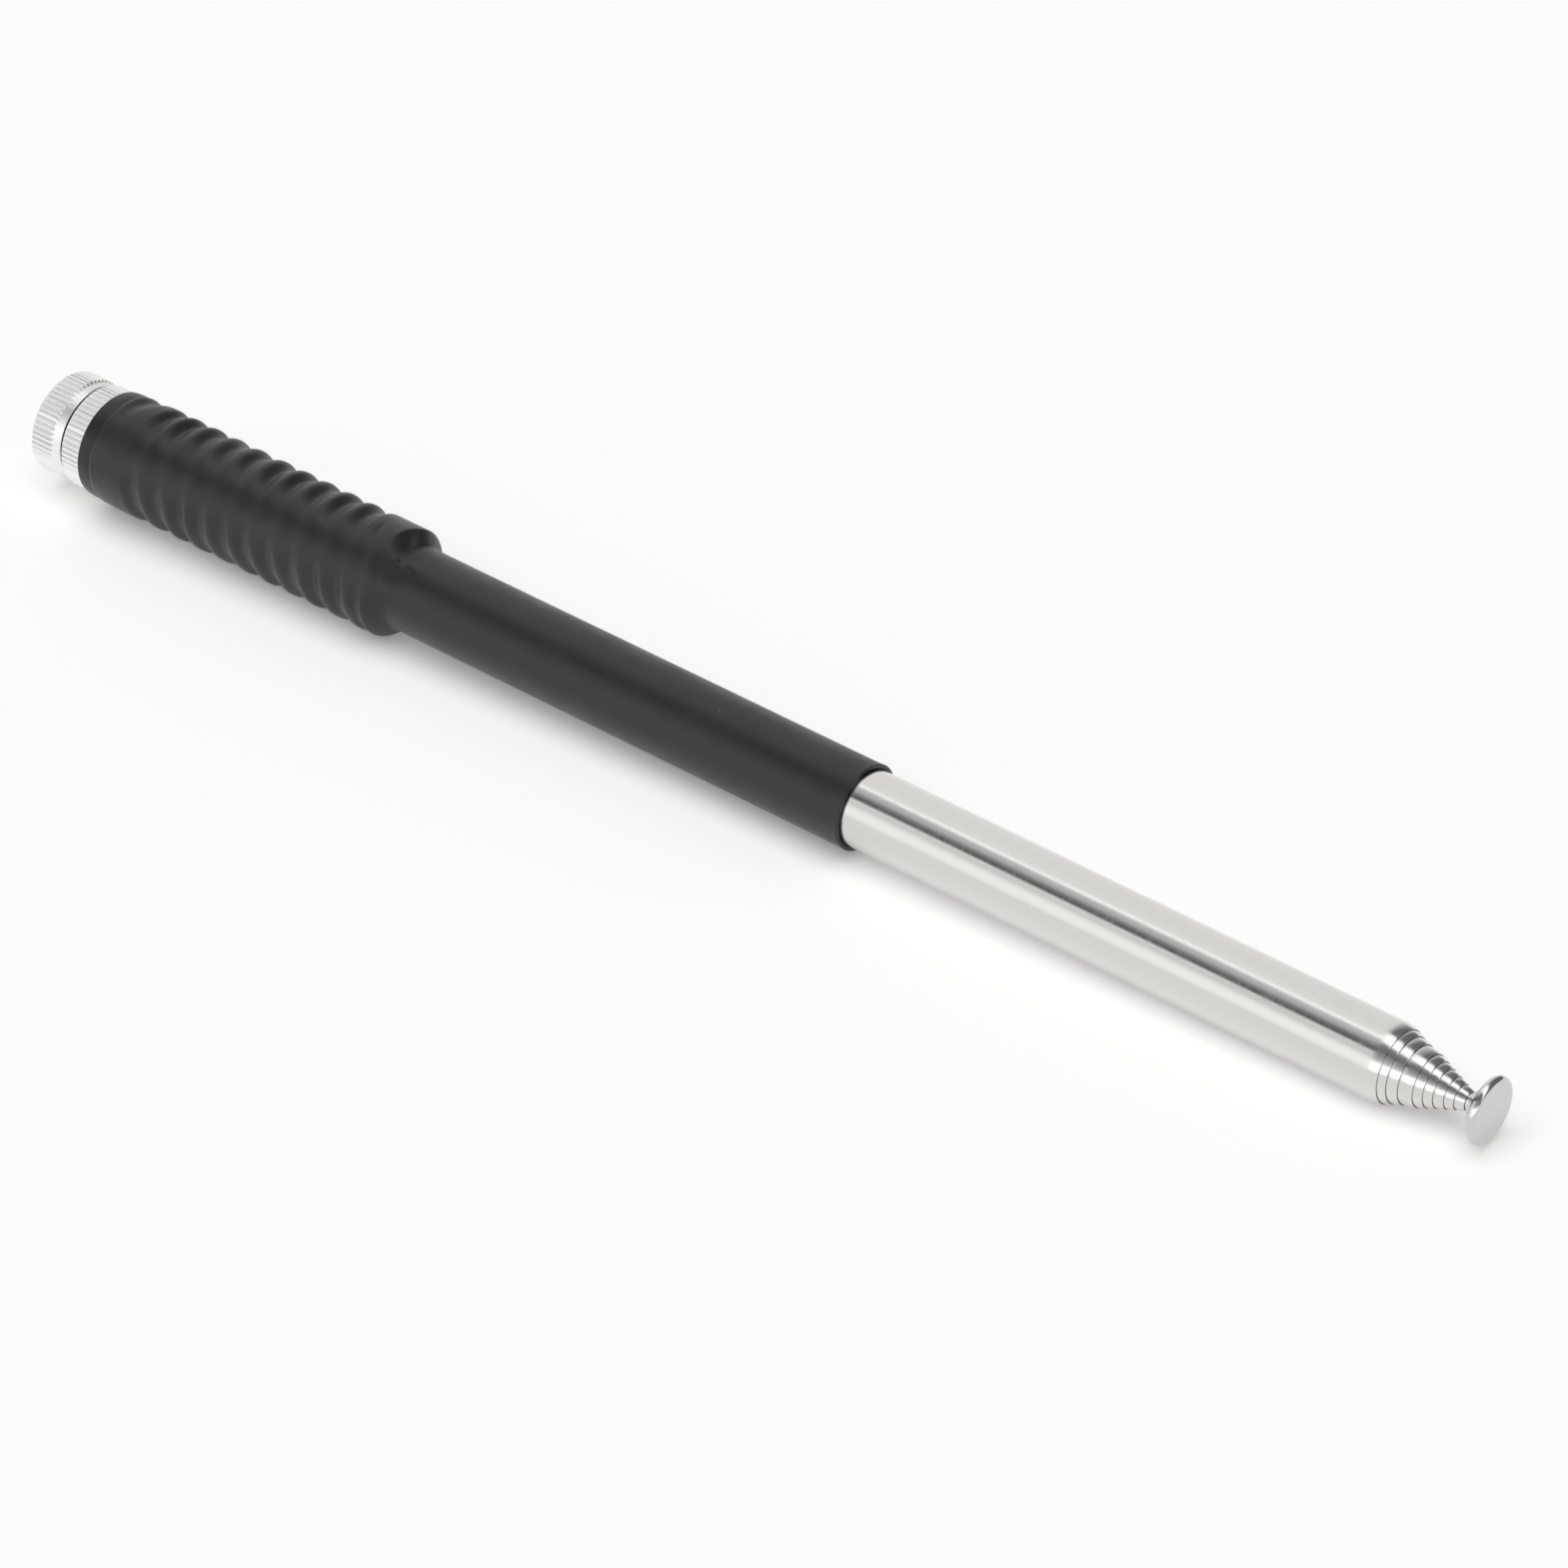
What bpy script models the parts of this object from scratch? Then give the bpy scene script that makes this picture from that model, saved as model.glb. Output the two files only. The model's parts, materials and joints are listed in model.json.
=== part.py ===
"""A pull-out whip antenna for a handheld radio, collapsed and lying on a flat surface.

A knurled coaxial connector carries a plastic rod wound with a coil. A ferrule in the rod's other
end carries the outer tube of a ten-section mast, and one black sleeve covers all of this from the
connector to halfway up the outer tube. Nine sections slide out of each other, each held by the
rolled-in mouth of the one around it.

Every piece is made along +X from the connector's face, in metres, and hangs from one empty that
lays the antenna down: it rests on the sleeve's shoulder and on the mouth of the outer tube.
"""

import math

import bmesh
import bpy

MM = 0.001
TURN = 2 * math.pi

# Round pieces share one number of flats, turned so that a flat faces down, and are sized across them
SIDES = 20
WIRE_SIDES = 6

# Connector: lengths run from its front face
KNURL_D = 12.7 * MM
KNURL_LENGTH = 10.2 * MM
KNURL_TEETH = 58
TOOTH_DEPTH = 0.3 * MM
FRONT_BAND_END = 3.4 * MM
REAR_BAND_START = 4.7 * MM
NECK_DROP = 0.3 * MM
NOTCH_WIDTH = 0.25 * MM
NOTCH_DEPTH = 0.35 * MM
BORE_D = 6.35 * MM
BORE_DEPTH = 5.0 * MM
BORE_CHAMFER = 0.25 * MM
REAR_SOCKET_DEPTH = 2.0 * MM

# Insulator and centre pin
INSULATOR_D = 4.1 * MM
PIN_D = 0.92 * MM
PIN_TIP_D = 0.5 * MM
PIN_COLLAR_D = 1.25 * MM
PIN_COLLAR_LENGTH = 0.5 * MM
PIN_COLLAR_SETBACK = 0.9 * MM
PIN_REACH = 3.3 * MM
PIN_TIP_LENGTH = 0.7 * MM
PIN_TIP_CHAMFER = 0.1 * MM
SOLDER_CUP_D = 1.6 * MM
SOLDER_CUP_LENGTH = 2.0 * MM
SOLDER_CUP_WALL = 0.25 * MM

# Coil and its former
FORMER_D = 10.2 * MM
FORMER_LENGTH = 39.6 * MM
FORMER_NOSE_D = 8.0 * MM
FORMER_SOCKET_D = 6.4 * MM
FORMER_SOCKET_DEPTH = 6.5 * MM
POCKET_D = 3.4 * MM
POCKET_DEPTH = 4.6 * MM
LEAD_SLOT_WIDTH = 1.8 * MM
WIRE_D = 1.3 * MM
COIL_SETBACK = 1.5 * MM
COIL_PITCH = 3.52 * MM
COIL_START_SIDE = 17
WIRE_LAP = 2.26 * MM
SOLDER_LENGTH = 3.0 * MM
SOLDER_WIDTH = 1.8 * MM

# Ferrule
COLLAR_LENGTH = 3.9 * MM
PLUG_LENGTH = 6.8 * MM
CHAMFER = 0.3 * MM

# Sleeve: its shoulder runs through shares of its length and of its drop
SLEEVE_KNURL_LAP = 2.44 * MM
SLEEVE_MAST_LAP = 65.1 * MM
SLEEVE_WALL = 0.28 * MM
SLEEVE_MAST_WALL = 0.47 * MM
SLEEVE_EDGE_WALL = 0.1 * MM
SLEEVE_EDGE_LENGTH = 1.4 * MM
RIDGE_DEPTH = 0.6 * MM
VALLEY_POWER = 1.5
ROWS_PER_TURN = 4
SHOULDER_SETBACK = 1.3 * MM
SHOULDER_LENGTH = 2.3 * MM
SHOULDER_SHARES = ((0.4, 0.3), (0.8, 0.88), (1, 1))

# Mast: the lip bends at a share of its length and of its drop
MAST_D = 9.2 * MM
MAST_STEP = 0.8 * MM
TUBE_WALL = 0.25 * MM
OUTER_TUBE_LENGTH = 137.0 * MM
MOUTH_STEPS = (0.9 * MM, 1.2 * MM, 1.6 * MM, 1.0 * MM, 1.0 * MM, 1.1 * MM, 1.0 * MM, 1.1 * MM)
LIP_LENGTH = 0.8 * MM
LIP_EDGE = 0.04 * MM
LIP_LAND = 0.4 * MM
LIP_BEND_SHARE = 0.65
LIP_BEND_DROP_SHARE = 0.3
FLARE = 0.1 * MM
FLARE_LENGTH = 0.35 * MM
BUSH_LENGTH = 6.5 * MM
BUSH_WALL = 0.1 * MM

# Cap
CAP_D = 7.9 * MM
CAP_NECK_D = 2.7 * MM
CAP_LENGTH = 2.6 * MM
CAP_RIM = 0.9 * MM
CAP_CROWN = 0.15 * MM
CAP_SOCKET_DEPTH = 1.5 * MM
CAP_STANDOFF = 0.4 * MM

# Clearances: between two round pieces, between a bush and its bore, and end to end
FIT = 0.04 * MM
RUNNING_FIT = 0.02 * MM
GAP = 0.3 * MM

# Points closer than this are one point, and edges sharper than this stay sharp
WELD = 0.001 * MM
SHARP_EDGE = math.radians(30)

# How far a flat lies from the axis, as a share of its corners' radius
FLAT = math.cos(math.pi / SIDES)

# Radii and stations that follow from the sizes above
KNURL_R = KNURL_D / 2
VALLEY_R = KNURL_R - TOOTH_DEPTH
INSULATOR_END = KNURL_LENGTH - REAR_SOCKET_DEPTH
FORMER_START = KNURL_LENGTH + GAP
FORMER_END = FORMER_START + FORMER_LENGTH
FORMER_NOSE_START = INSULATOR_END + GAP
COIL_START = FORMER_START + COIL_SETBACK
COIL_START_ANGLE = TURN * (COIL_START_SIDE + 0.5) / SIDES
COIL_R = FORMER_D / 2 + FIT + WIRE_D / 2
COIL_OUTER_R = COIL_R + WIRE_D / 2
COLLAR_START = FORMER_END + GAP
COIL_END = COLLAR_START + WIRE_LAP
COLLAR_END = COLLAR_START + COLLAR_LENGTH
PLUG_END = COLLAR_END + PLUG_LENGTH
OUTER_TUBE_START = COLLAR_END + GAP
OUTER_TUBE_MOUTH = OUTER_TUBE_START + OUTER_TUBE_LENGTH
FOOT = PLUG_END + GAP
SHOULDER_START = COLLAR_END - SHOULDER_SETBACK
SHOULDER_END = SHOULDER_START + SHOULDER_LENGTH
SLEEVE_START = KNURL_LENGTH - SLEEVE_KNURL_LAP
SLEEVE_END = SHOULDER_END + SLEEVE_MAST_LAP
RIDGES_START = KNURL_LENGTH + GAP
SECTIONS = len(MOUTH_STEPS) + 2
CAP_START = OUTER_TUBE_MOUTH + sum(MOUTH_STEPS) + CAP_STANDOFF
LENGTH = CAP_START + CAP_LENGTH


def tube_radius(section):
    """Outer radius of a mast section, counted from 1 at the outer tube."""
    return (MAST_D - (section - 1) * MAST_STEP) / 2


def mouth_at(section):
    """Station of a section's mouth when the mast is collapsed."""
    return OUTER_TUBE_MOUTH + sum(MOUTH_STEPS[:section - 1])


def travel_of(section):
    """How far a section slides out before its bush meets the lip around it."""
    bush_end = FOOT + FLARE_LENGTH + FIT + BUSH_LENGTH
    return mouth_at(section - 1) - LIP_LENGTH - bush_end


def material(name, colour, metallic, roughness):
    made = bpy.data.materials.new(name)
    made.use_nodes = True
    shader = made.node_tree.nodes["Principled BSDF"]
    shader.inputs["Base Color"].default_value = (*colour, 1)
    shader.inputs["Metallic"].default_value = metallic
    shader.inputs["Roughness"].default_value = roughness
    made.diffuse_color = (*colour, 1)
    return made


def add_object(name, data, parent, surface):
    made = bpy.data.objects.new(name, data)
    bpy.context.scene.collection.objects.link(made)
    made.parent = parent
    made.data.materials.append(surface)
    return made


def add_solid(name, bm, parent, surface):
    """Turns a finished bmesh into a named object with its faces pointing out."""
    bmesh.ops.remove_doubles(bm, verts=bm.verts, dist=WELD)
    bmesh.ops.recalc_face_normals(bm, faces=bm.faces)
    mesh = bpy.data.meshes.new(name)
    bm.to_mesh(mesh)
    bm.free()
    mesh.shade_smooth()
    mesh.set_sharp_from_angle(angle=SHARP_EDGE)
    return add_object(name, mesh, parent, surface)


def add_empty(name, parent, along=0.0):
    made = bpy.data.objects.new(name, None)
    bpy.context.scene.collection.objects.link(made)
    made.parent = parent
    made.location.x = along
    return made


def add_draw(section, parent, along):
    """An empty that carries one section and slides along X, from collapsed to its bush at the lip."""
    made = add_empty(f"draw_{section}", parent, along)
    limit = made.constraints.new("LIMIT_LOCATION")
    limit.owner_space = "LOCAL"
    limit.use_min_x = True
    limit.min_x = along
    limit.use_max_x = True
    limit.max_x = along + travel_of(section)
    return made


def side_angle(side, sides=SIDES):
    return TURN * (side + 0.5) / sides


def point(along, radius, angle):
    return along, radius * math.cos(angle), radius * math.sin(angle)


def corner(along, radius, side, sides=SIDES):
    """A corner of a round whose flats lie at the radius."""
    return point(along, radius / math.cos(math.pi / sides), side_angle(side, sides))


def turned(profile, closed=True, sides=SIDES):
    """Spins (station, radius) points about the X axis, a closed section or one that ends on the axis."""
    bm = bmesh.new()
    verts = [bm.verts.new(corner(along, radius, 0, sides)) for along, radius in profile]
    edges = [bm.edges.new(pair) for pair in zip(verts, verts[1:])]
    if closed:
        edges.append(bm.edges.new((verts[-1], verts[0])))
    bmesh.ops.spin(bm, geom=verts + edges, cent=(0, 0, 0), axis=(1, 0, 0),
                   angle=TURN, steps=sides, use_merge=True)
    return bm


def ring(bm, along, radii):
    """One loop of points round the axis, a radius for each."""
    count = len(radii)
    return [bm.verts.new(corner(along, radius, side, count)) for side, radius in enumerate(radii)]


def band(bm, first, second):
    """Joins two loops, which may have different numbers of points, by walking round both."""
    here, there = 0, 0
    while here < len(first) or there < len(second):
        ahead = (here + 1) * len(second)
        other = (there + 1) * len(first)
        corners = [first[here % len(first)], second[there % len(second)]]
        if ahead <= other:
            here += 1
            corners.insert(0, first[here % len(first)])
        if other <= ahead:
            there += 1
            corners.append(second[there % len(second)])
        bm.faces.new(corners)


def knurl_radii(tip):
    """Tooth tips and valleys in turn, with the valleys no higher than the tips."""
    return [tip, min(tip, VALLEY_R)] * KNURL_TEETH


def add_connector(parent, surface):
    """The turned body: two toothed bands round a neck and a notch, and a stepped hole through it."""
    neck_r = VALLEY_R - NECK_DROP
    notch_start = REAR_BAND_START - NOTCH_WIDTH
    notch_r = neck_r - NOTCH_DEPTH
    outside = (
        (0, VALLEY_R),
        (TOOTH_DEPTH, KNURL_R),
        (FRONT_BAND_END - TOOTH_DEPTH, KNURL_R),
        (FRONT_BAND_END, VALLEY_R),
        (notch_start, neck_r),
        (notch_start, notch_r),
        (REAR_BAND_START, notch_r),
        (REAR_BAND_START, VALLEY_R),
        (REAR_BAND_START + TOOTH_DEPTH, KNURL_R),
        (KNURL_LENGTH - TOOTH_DEPTH, KNURL_R),
        (KNURL_LENGTH, VALLEY_R),
    )
    insulator_bore = INSULATOR_D / 2 + FIT
    socket_r = FORMER_NOSE_D / 2 + FIT
    inside = (
        (KNURL_LENGTH, socket_r),
        (INSULATOR_END, socket_r),
        (INSULATOR_END, insulator_bore),
        (BORE_DEPTH, insulator_bore),
        (BORE_DEPTH, BORE_D / 2),
        (BORE_CHAMFER, BORE_D / 2),
        (0, BORE_D / 2 + BORE_CHAMFER),
    )
    bm = bmesh.new()
    loops = [ring(bm, along, knurl_radii(tip)) for along, tip in outside]
    loops += [ring(bm, along, [radius] * SIDES) for along, radius in inside]
    for first, second in zip(loops, loops[1:] + loops[:1]):
        band(bm, first, second)
    return add_solid("connector_body", bm, parent, surface)


def add_insulator(parent, surface):
    start = BORE_DEPTH - CHAMFER / 2
    outer = INSULATOR_D / 2
    inner = PIN_D / 2 + FIT
    profile = (
        (start, inner),
        (start, outer - CHAMFER / 2),
        (BORE_DEPTH, outer),
        (INSULATOR_END, outer),
        (INSULATOR_END, inner),
    )
    return add_solid("insulator", turned(profile), parent, surface)


def add_pin(parent, surface):
    """A stepped pin with a collar near its tip and a hollow solder cup behind the insulator."""
    insulator_face = BORE_DEPTH - CHAMFER / 2
    tip = insulator_face - PIN_REACH
    tip_end = tip + PIN_TIP_LENGTH
    collar = tip_end + PIN_COLLAR_SETBACK
    cup = INSULATOR_END + GAP
    cup_end = cup + SOLDER_CUP_LENGTH
    cup_r = SOLDER_CUP_D / 2
    cup_hole = cup_r - SOLDER_CUP_WALL
    pin_r = PIN_D / 2
    tip_r = PIN_TIP_D / 2
    profile = (
        (tip, 0),
        (tip, tip_r - PIN_TIP_CHAMFER),
        (tip + PIN_TIP_CHAMFER, tip_r),
        (tip_end, tip_r),
        (tip_end + pin_r - tip_r, pin_r),
        (collar, pin_r),
        (collar, PIN_COLLAR_D / 2),
        (collar + PIN_COLLAR_LENGTH, PIN_COLLAR_D / 2),
        (collar + PIN_COLLAR_LENGTH, pin_r),
        (cup, pin_r),
        (cup, cup_r),
        (cup_end, cup_r),
        (cup_end, cup_hole),
        (cup + SOLDER_CUP_WALL, cup_hole),
        (cup + SOLDER_CUP_WALL, 0),
    )
    bm = turned(profile, closed=False, sides=SIDES // 2)
    return add_solid("centre_pin", bm, parent, surface)


def coil_angle(along):
    return COIL_START_ANGLE + TURN * (along - COIL_START) / COIL_PITCH


def add_former(parent, surface):
    """A rod with a nose, a pocket behind it, and a socket for the ferrule, slotted for the lead."""
    nose_r = FORMER_NOSE_D / 2
    outer = FORMER_D / 2
    pocket_r = POCKET_D / 2
    pocket_end = FORMER_NOSE_START + POCKET_DEPTH
    socket_r = FORMER_SOCKET_D / 2
    socket_start = FORMER_END - FORMER_SOCKET_DEPTH
    profile = (
        (pocket_end, 0),
        (pocket_end, pocket_r),
        (FORMER_NOSE_START, pocket_r),
        (FORMER_NOSE_START, nose_r),
        (FORMER_START, nose_r),
        (FORMER_START, outer),
        (FORMER_END, outer),
        (FORMER_END, socket_r),
        (socket_start, socket_r),
        (socket_start, 0),
    )
    former = add_solid("coil_former", turned(profile, closed=False), parent, surface)
    slot = bmesh.new()
    bmesh.ops.create_cube(slot, size=1)
    cutter = add_solid("lead_slot_cutter", slot, parent, surface)
    cutter.scale = (LEAD_SLOT_WIDTH, LEAD_SLOT_WIDTH, outer)
    cutter.rotation_euler.x = COIL_START_ANGLE - math.pi / 2
    cutter.location = point(COIL_START, pocket_r / 2 + outer / 2, COIL_START_ANGLE)
    cutter.hide_render = True
    cutter.display_type = "WIRE"
    cut = former.modifiers.new("lead_slot", "BOOLEAN")
    cut.operation = "DIFFERENCE"
    cut.solver = "EXACT"
    cut.object = cutter
    return former


def add_coil(parent, surface):
    """The wire: out of the solder cup's pocket along the slot, then round the former."""
    last_side = math.floor(coil_angle(COIL_END) / TURN * SIDES - 0.5)
    cup_end = INSULATOR_END + GAP + SOLDER_CUP_LENGTH
    route = [(cup_end + GAP, 0, 0), point(COIL_START, WIRE_D / 2, COIL_START_ANGLE)]
    for side in range(COIL_START_SIDE, last_side + 1):
        along = COIL_START + COIL_PITCH * (side - COIL_START_SIDE) / SIDES
        route.append(corner(along, COIL_R, side))
    curve = bpy.data.curves.new("loading_coil", "CURVE")
    curve.dimensions = "3D"
    curve.bevel_depth = WIRE_D / 2
    # A bevel has four sides and two more for each step of its resolution
    curve.bevel_resolution = WIRE_SIDES // 2 - 2
    curve.use_fill_caps = True
    spline = curve.splines.new("POLY")
    spline.points.add(len(route) - 1)
    for spline_point, place in zip(spline.points, route):
        spline_point.co = (*place, 1)
    return add_object("loading_coil", curve, parent, surface)


def add_solder(parent, surface):
    """A bead on the ferrule's collar, just past the end of the wire and up to the sleeve's shoulder."""
    seat = FORMER_D / 2 / FLAT
    height = COIL_OUTER_R - seat - FIT
    angle = coil_angle(COIL_END) + (SOLDER_LENGTH / 2 + GAP) / COIL_R
    bm = bmesh.new()
    bmesh.ops.create_uvsphere(bm, u_segments=WIRE_SIDES * 2, v_segments=WIRE_SIDES, radius=0.5)
    bmesh.ops.scale(bm, verts=bm.verts, vec=(SOLDER_WIDTH, SOLDER_LENGTH, height))
    bead = add_solid("solder_joint", bm, parent, surface)
    bead.rotation_euler.x = angle - math.pi / 2
    bead.location = point(SHOULDER_START - SOLDER_WIDTH / 2, seat + FIT + height / 2, angle)
    return bead


def add_ferrule(parent, surface):
    """A turned plug: a spigot in the former, a collar and a long plug in the outer tube."""
    spigot_r = FORMER_SOCKET_D / 2 - FIT
    spigot_start = FORMER_END - FORMER_SOCKET_DEPTH + GAP
    collar_r = FORMER_D / 2
    plug_r = MAST_D / 2 - TUBE_WALL - FIT
    profile = (
        (spigot_start, 0),
        (spigot_start, spigot_r - CHAMFER),
        (spigot_start + CHAMFER, spigot_r),
        (COLLAR_START, spigot_r),
        (COLLAR_START, collar_r),
        (COLLAR_END - CHAMFER, collar_r),
        (COLLAR_END, collar_r - CHAMFER),
        (COLLAR_END, plug_r),
        (PLUG_END - CHAMFER, plug_r),
        (PLUG_END, plug_r - CHAMFER),
        (PLUG_END, 0),
    )
    return add_solid("mast_ferrule", turned(profile, closed=False), parent, surface)


def ridged_skin(bm, start, end, first, last, crest_r, rows_per_turn):
    """Joins two loops by a surface whose rows follow the coil, high over the wire and low between.

    Row 0 lies over the wire. A row's radius is crest_r less RIDGE_DEPTH times (1 - cos(turns from
    row 0)) / 2 to the VALLEY_POWER, which makes the ridges broad and the valleys narrow. This dip
    fades out over one pitch, starting a row away from each loop.
    """
    step = COIL_PITCH / rows_per_turn
    columns = []
    for side in range(SIDES):
        wire = COIL_START + COIL_PITCH * (side - COIL_START_SIDE) / SIDES
        lowest = math.ceil((first + step / 2 - wire) / step)
        highest = math.floor((last - step / 2 - wire) / step)
        column = {}
        for row in range(lowest, highest + 1):
            along = wire + row * step
            inset = min(along - first, last - along) - step
            fade = min(1, max(0, inset / COIL_PITCH))
            swing = (1 - math.cos(TURN * row / rows_per_turn)) / 2
            dip = RIDGE_DEPTH * fade * swing**VALLEY_POWER
            column[row] = bm.verts.new(corner(along, crest_r - dip, side))
        columns.append(column)
    for side in range(SIDES):
        after = (side + 1) % SIDES
        here = columns[side]
        there = columns[after]
        if after == 0:
            there = {row - rows_per_turn: vert for row, vert in there.items()}
        shared = sorted(set(here) & set(there))
        for row in shared[:-1]:
            bm.faces.new((here[row], here[row + 1], there[row + 1], there[row]))
        below = [here[row] for row in sorted(here) if row <= shared[0]]
        below_after = [there[row] for row in sorted(there, reverse=True) if row <= shared[0]]
        bm.faces.new([start[side], *below, *below_after, start[after]])
        above = [here[row] for row in sorted(here, reverse=True) if row >= shared[-1]]
        above_after = [there[row] for row in sorted(there) if row >= shared[-1]]
        bm.faces.new([end[side], *above, *above_after, end[after]])


def sleeve_skin(bm, edge_r, knurl_r, crest_r, mast_r, rows_per_turn):
    """One side of the sleeve, outer or inner, as its two end loops joined by faces."""
    shoulder = [
        (SHOULDER_START + SHOULDER_LENGTH * share, crest_r - (crest_r - mast_r) * drop)
        for share, drop in SHOULDER_SHARES
    ]
    profile = [
        (SLEEVE_START, edge_r),
        (SLEEVE_START + SLEEVE_EDGE_LENGTH, knurl_r),
        (RIDGES_START, knurl_r),
        (SHOULDER_START, crest_r),
        *shoulder,
        (SLEEVE_END, mast_r),
    ]
    loops = [ring(bm, along, [radius] * SIDES) for along, radius in profile]
    for first, second in zip(loops[:2], loops[1:]):
        band(bm, first, second)
    ridged_skin(bm, loops[2], loops[3], RIDGES_START, SHOULDER_START, crest_r, rows_per_turn)
    for first, second in zip(loops[3:], loops[4:]):
        band(bm, first, second)
    return loops[0], loops[-1]


def sleeve_crest_radius():
    return COIL_OUTER_R + FIT + SLEEVE_WALL


def add_sleeve(parent, surface):
    """The shrunk skin: thin at its edge on the knurl, then one wall over the coil, thicker on the mast."""
    bm = bmesh.new()
    knurl_r = KNURL_R + FIT
    crest_r = COIL_OUTER_R + FIT
    mast_r = MAST_D / 2 + FIT
    inner = sleeve_skin(bm, knurl_r, knurl_r, crest_r, mast_r, ROWS_PER_TURN // 2)
    outer = sleeve_skin(bm, knurl_r + SLEEVE_EDGE_WALL, knurl_r + SLEEVE_WALL, sleeve_crest_radius(),
                        mast_r + SLEEVE_MAST_WALL, ROWS_PER_TURN)
    band(bm, inner[0], outer[0])
    band(bm, inner[1], outer[1])
    return add_solid("heat_shrink_sleeve", bm, parent, surface)


def mouth_profile(section, mouth):
    """The rolled-in mouth: outside round the lip to its edge, then back along the inside."""
    radius = tube_radius(section)
    lip_r = tube_radius(section + 1) + FIT
    edge_r = lip_r + LIP_EDGE
    lip_start = mouth - LIP_LENGTH
    return [
        (lip_start, radius),
        (lip_start + LIP_LENGTH * LIP_BEND_SHARE, radius - (radius - edge_r) * LIP_BEND_DROP_SHARE),
        (mouth, edge_r),
        (mouth, lip_r),
        (mouth - LIP_LAND, lip_r),
        (lip_start, radius - TUBE_WALL),
    ]


def add_outer_tube(parent, surface):
    radius = tube_radius(1)
    profile = [(OUTER_TUBE_START, radius - TUBE_WALL), (OUTER_TUBE_START, radius)]
    profile += mouth_profile(1, OUTER_TUBE_MOUTH)
    return add_solid("mast_tube_1", turned(profile), parent, surface)


def foot_profile(section):
    """The flared end that keeps the bush on, measured from the foot."""
    radius = tube_radius(section)
    return [(0, radius + FLARE), (FLARE_LENGTH, radius)]


def add_tube(section, parent, surface):
    """A sliding tube, made from its own foot."""
    profile = [(0, tube_radius(section) - TUBE_WALL)]
    profile += foot_profile(section)
    profile += mouth_profile(section, mouth_at(section) - FOOT)
    return add_solid(f"mast_tube_{section}", turned(profile), parent, surface)


def add_bush(name, section, parent, surface):
    """A split bush round a section's foot: one flat of the round is left open."""
    inner = tube_radius(section) + RUNNING_FIT
    outer = inner + BUSH_WALL
    start = FLARE_LENGTH + FIT
    end = start + BUSH_LENGTH
    bm = bmesh.new()
    corners = ((start, inner), (start, outer), (end, outer), (end, inner))
    loops = [
        [bm.verts.new(corner(along, radius, side)) for along, radius in corners]
        for side in range(SIDES)
    ]
    for first, second in zip(loops, loops[1:]):
        band(bm, first, second)
    bm.faces.new(loops[0])
    bm.faces.new(loops[-1])
    return add_solid(name, bm, parent, surface)


def add_rod(section, parent, surface):
    """The solid innermost section, which ends inside the cap."""
    radius = tube_radius(section)
    end = CAP_START + CAP_SOCKET_DEPTH - GAP - FOOT
    profile = [(0, 0)]
    profile += foot_profile(section)
    profile += [(end, radius), (end, 0)]
    return add_solid("tip_rod", turned(profile, closed=False), parent, surface)


def add_cap(parent, surface):
    """A turned cap: a neck that flares in a hollow curve to a rounded rim and a slightly domed face."""
    start = CAP_START - FOOT
    neck_r = CAP_NECK_D / 2
    rim_r = CAP_D / 2
    socket_r = tube_radius(SECTIONS) + RUNNING_FIT
    rim_back = CAP_LENGTH - CAP_CROWN - CAP_RIM
    flare = [
        (start + rim_back * math.sin(quarter), neck_r + (rim_r - CAP_RIM / 2 - neck_r) * (1 - math.cos(quarter)))
        for quarter in (0, math.pi / 6, math.pi / 3, math.pi / 2)
    ]
    rim = [
        (start + rim_back + CAP_RIM / 2 * (1 - math.cos(turn)), rim_r - CAP_RIM / 2 * (1 - math.sin(turn)))
        for turn in (math.pi / 4, math.pi / 2, 3 * math.pi / 4, math.pi)
    ]
    profile = [(start + CAP_SOCKET_DEPTH, 0), (start + CAP_SOCKET_DEPTH, socket_r), (start, socket_r)]
    profile += flare + rim
    profile.append((start + CAP_LENGTH, 0))
    return add_solid("tip_cap", turned(profile, closed=False), parent, surface)


def lay_down(frame):
    """Turns the antenna so that shoulder and outer mouth both touch the surface, and centres it."""
    shoulder_r = sleeve_crest_radius()
    mouth_r = tube_radius(1)
    span = OUTER_TUBE_MOUTH - LIP_LENGTH - SHOULDER_START
    lie = math.atan2(shoulder_r - mouth_r, span)
    frame.rotation_euler.y = lie
    frame.location.x = -(LENGTH * math.cos(lie) - VALLEY_R * math.sin(lie)) / 2
    frame.location.z = SHOULDER_START * math.sin(lie) + shoulder_r * math.cos(lie)


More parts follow.
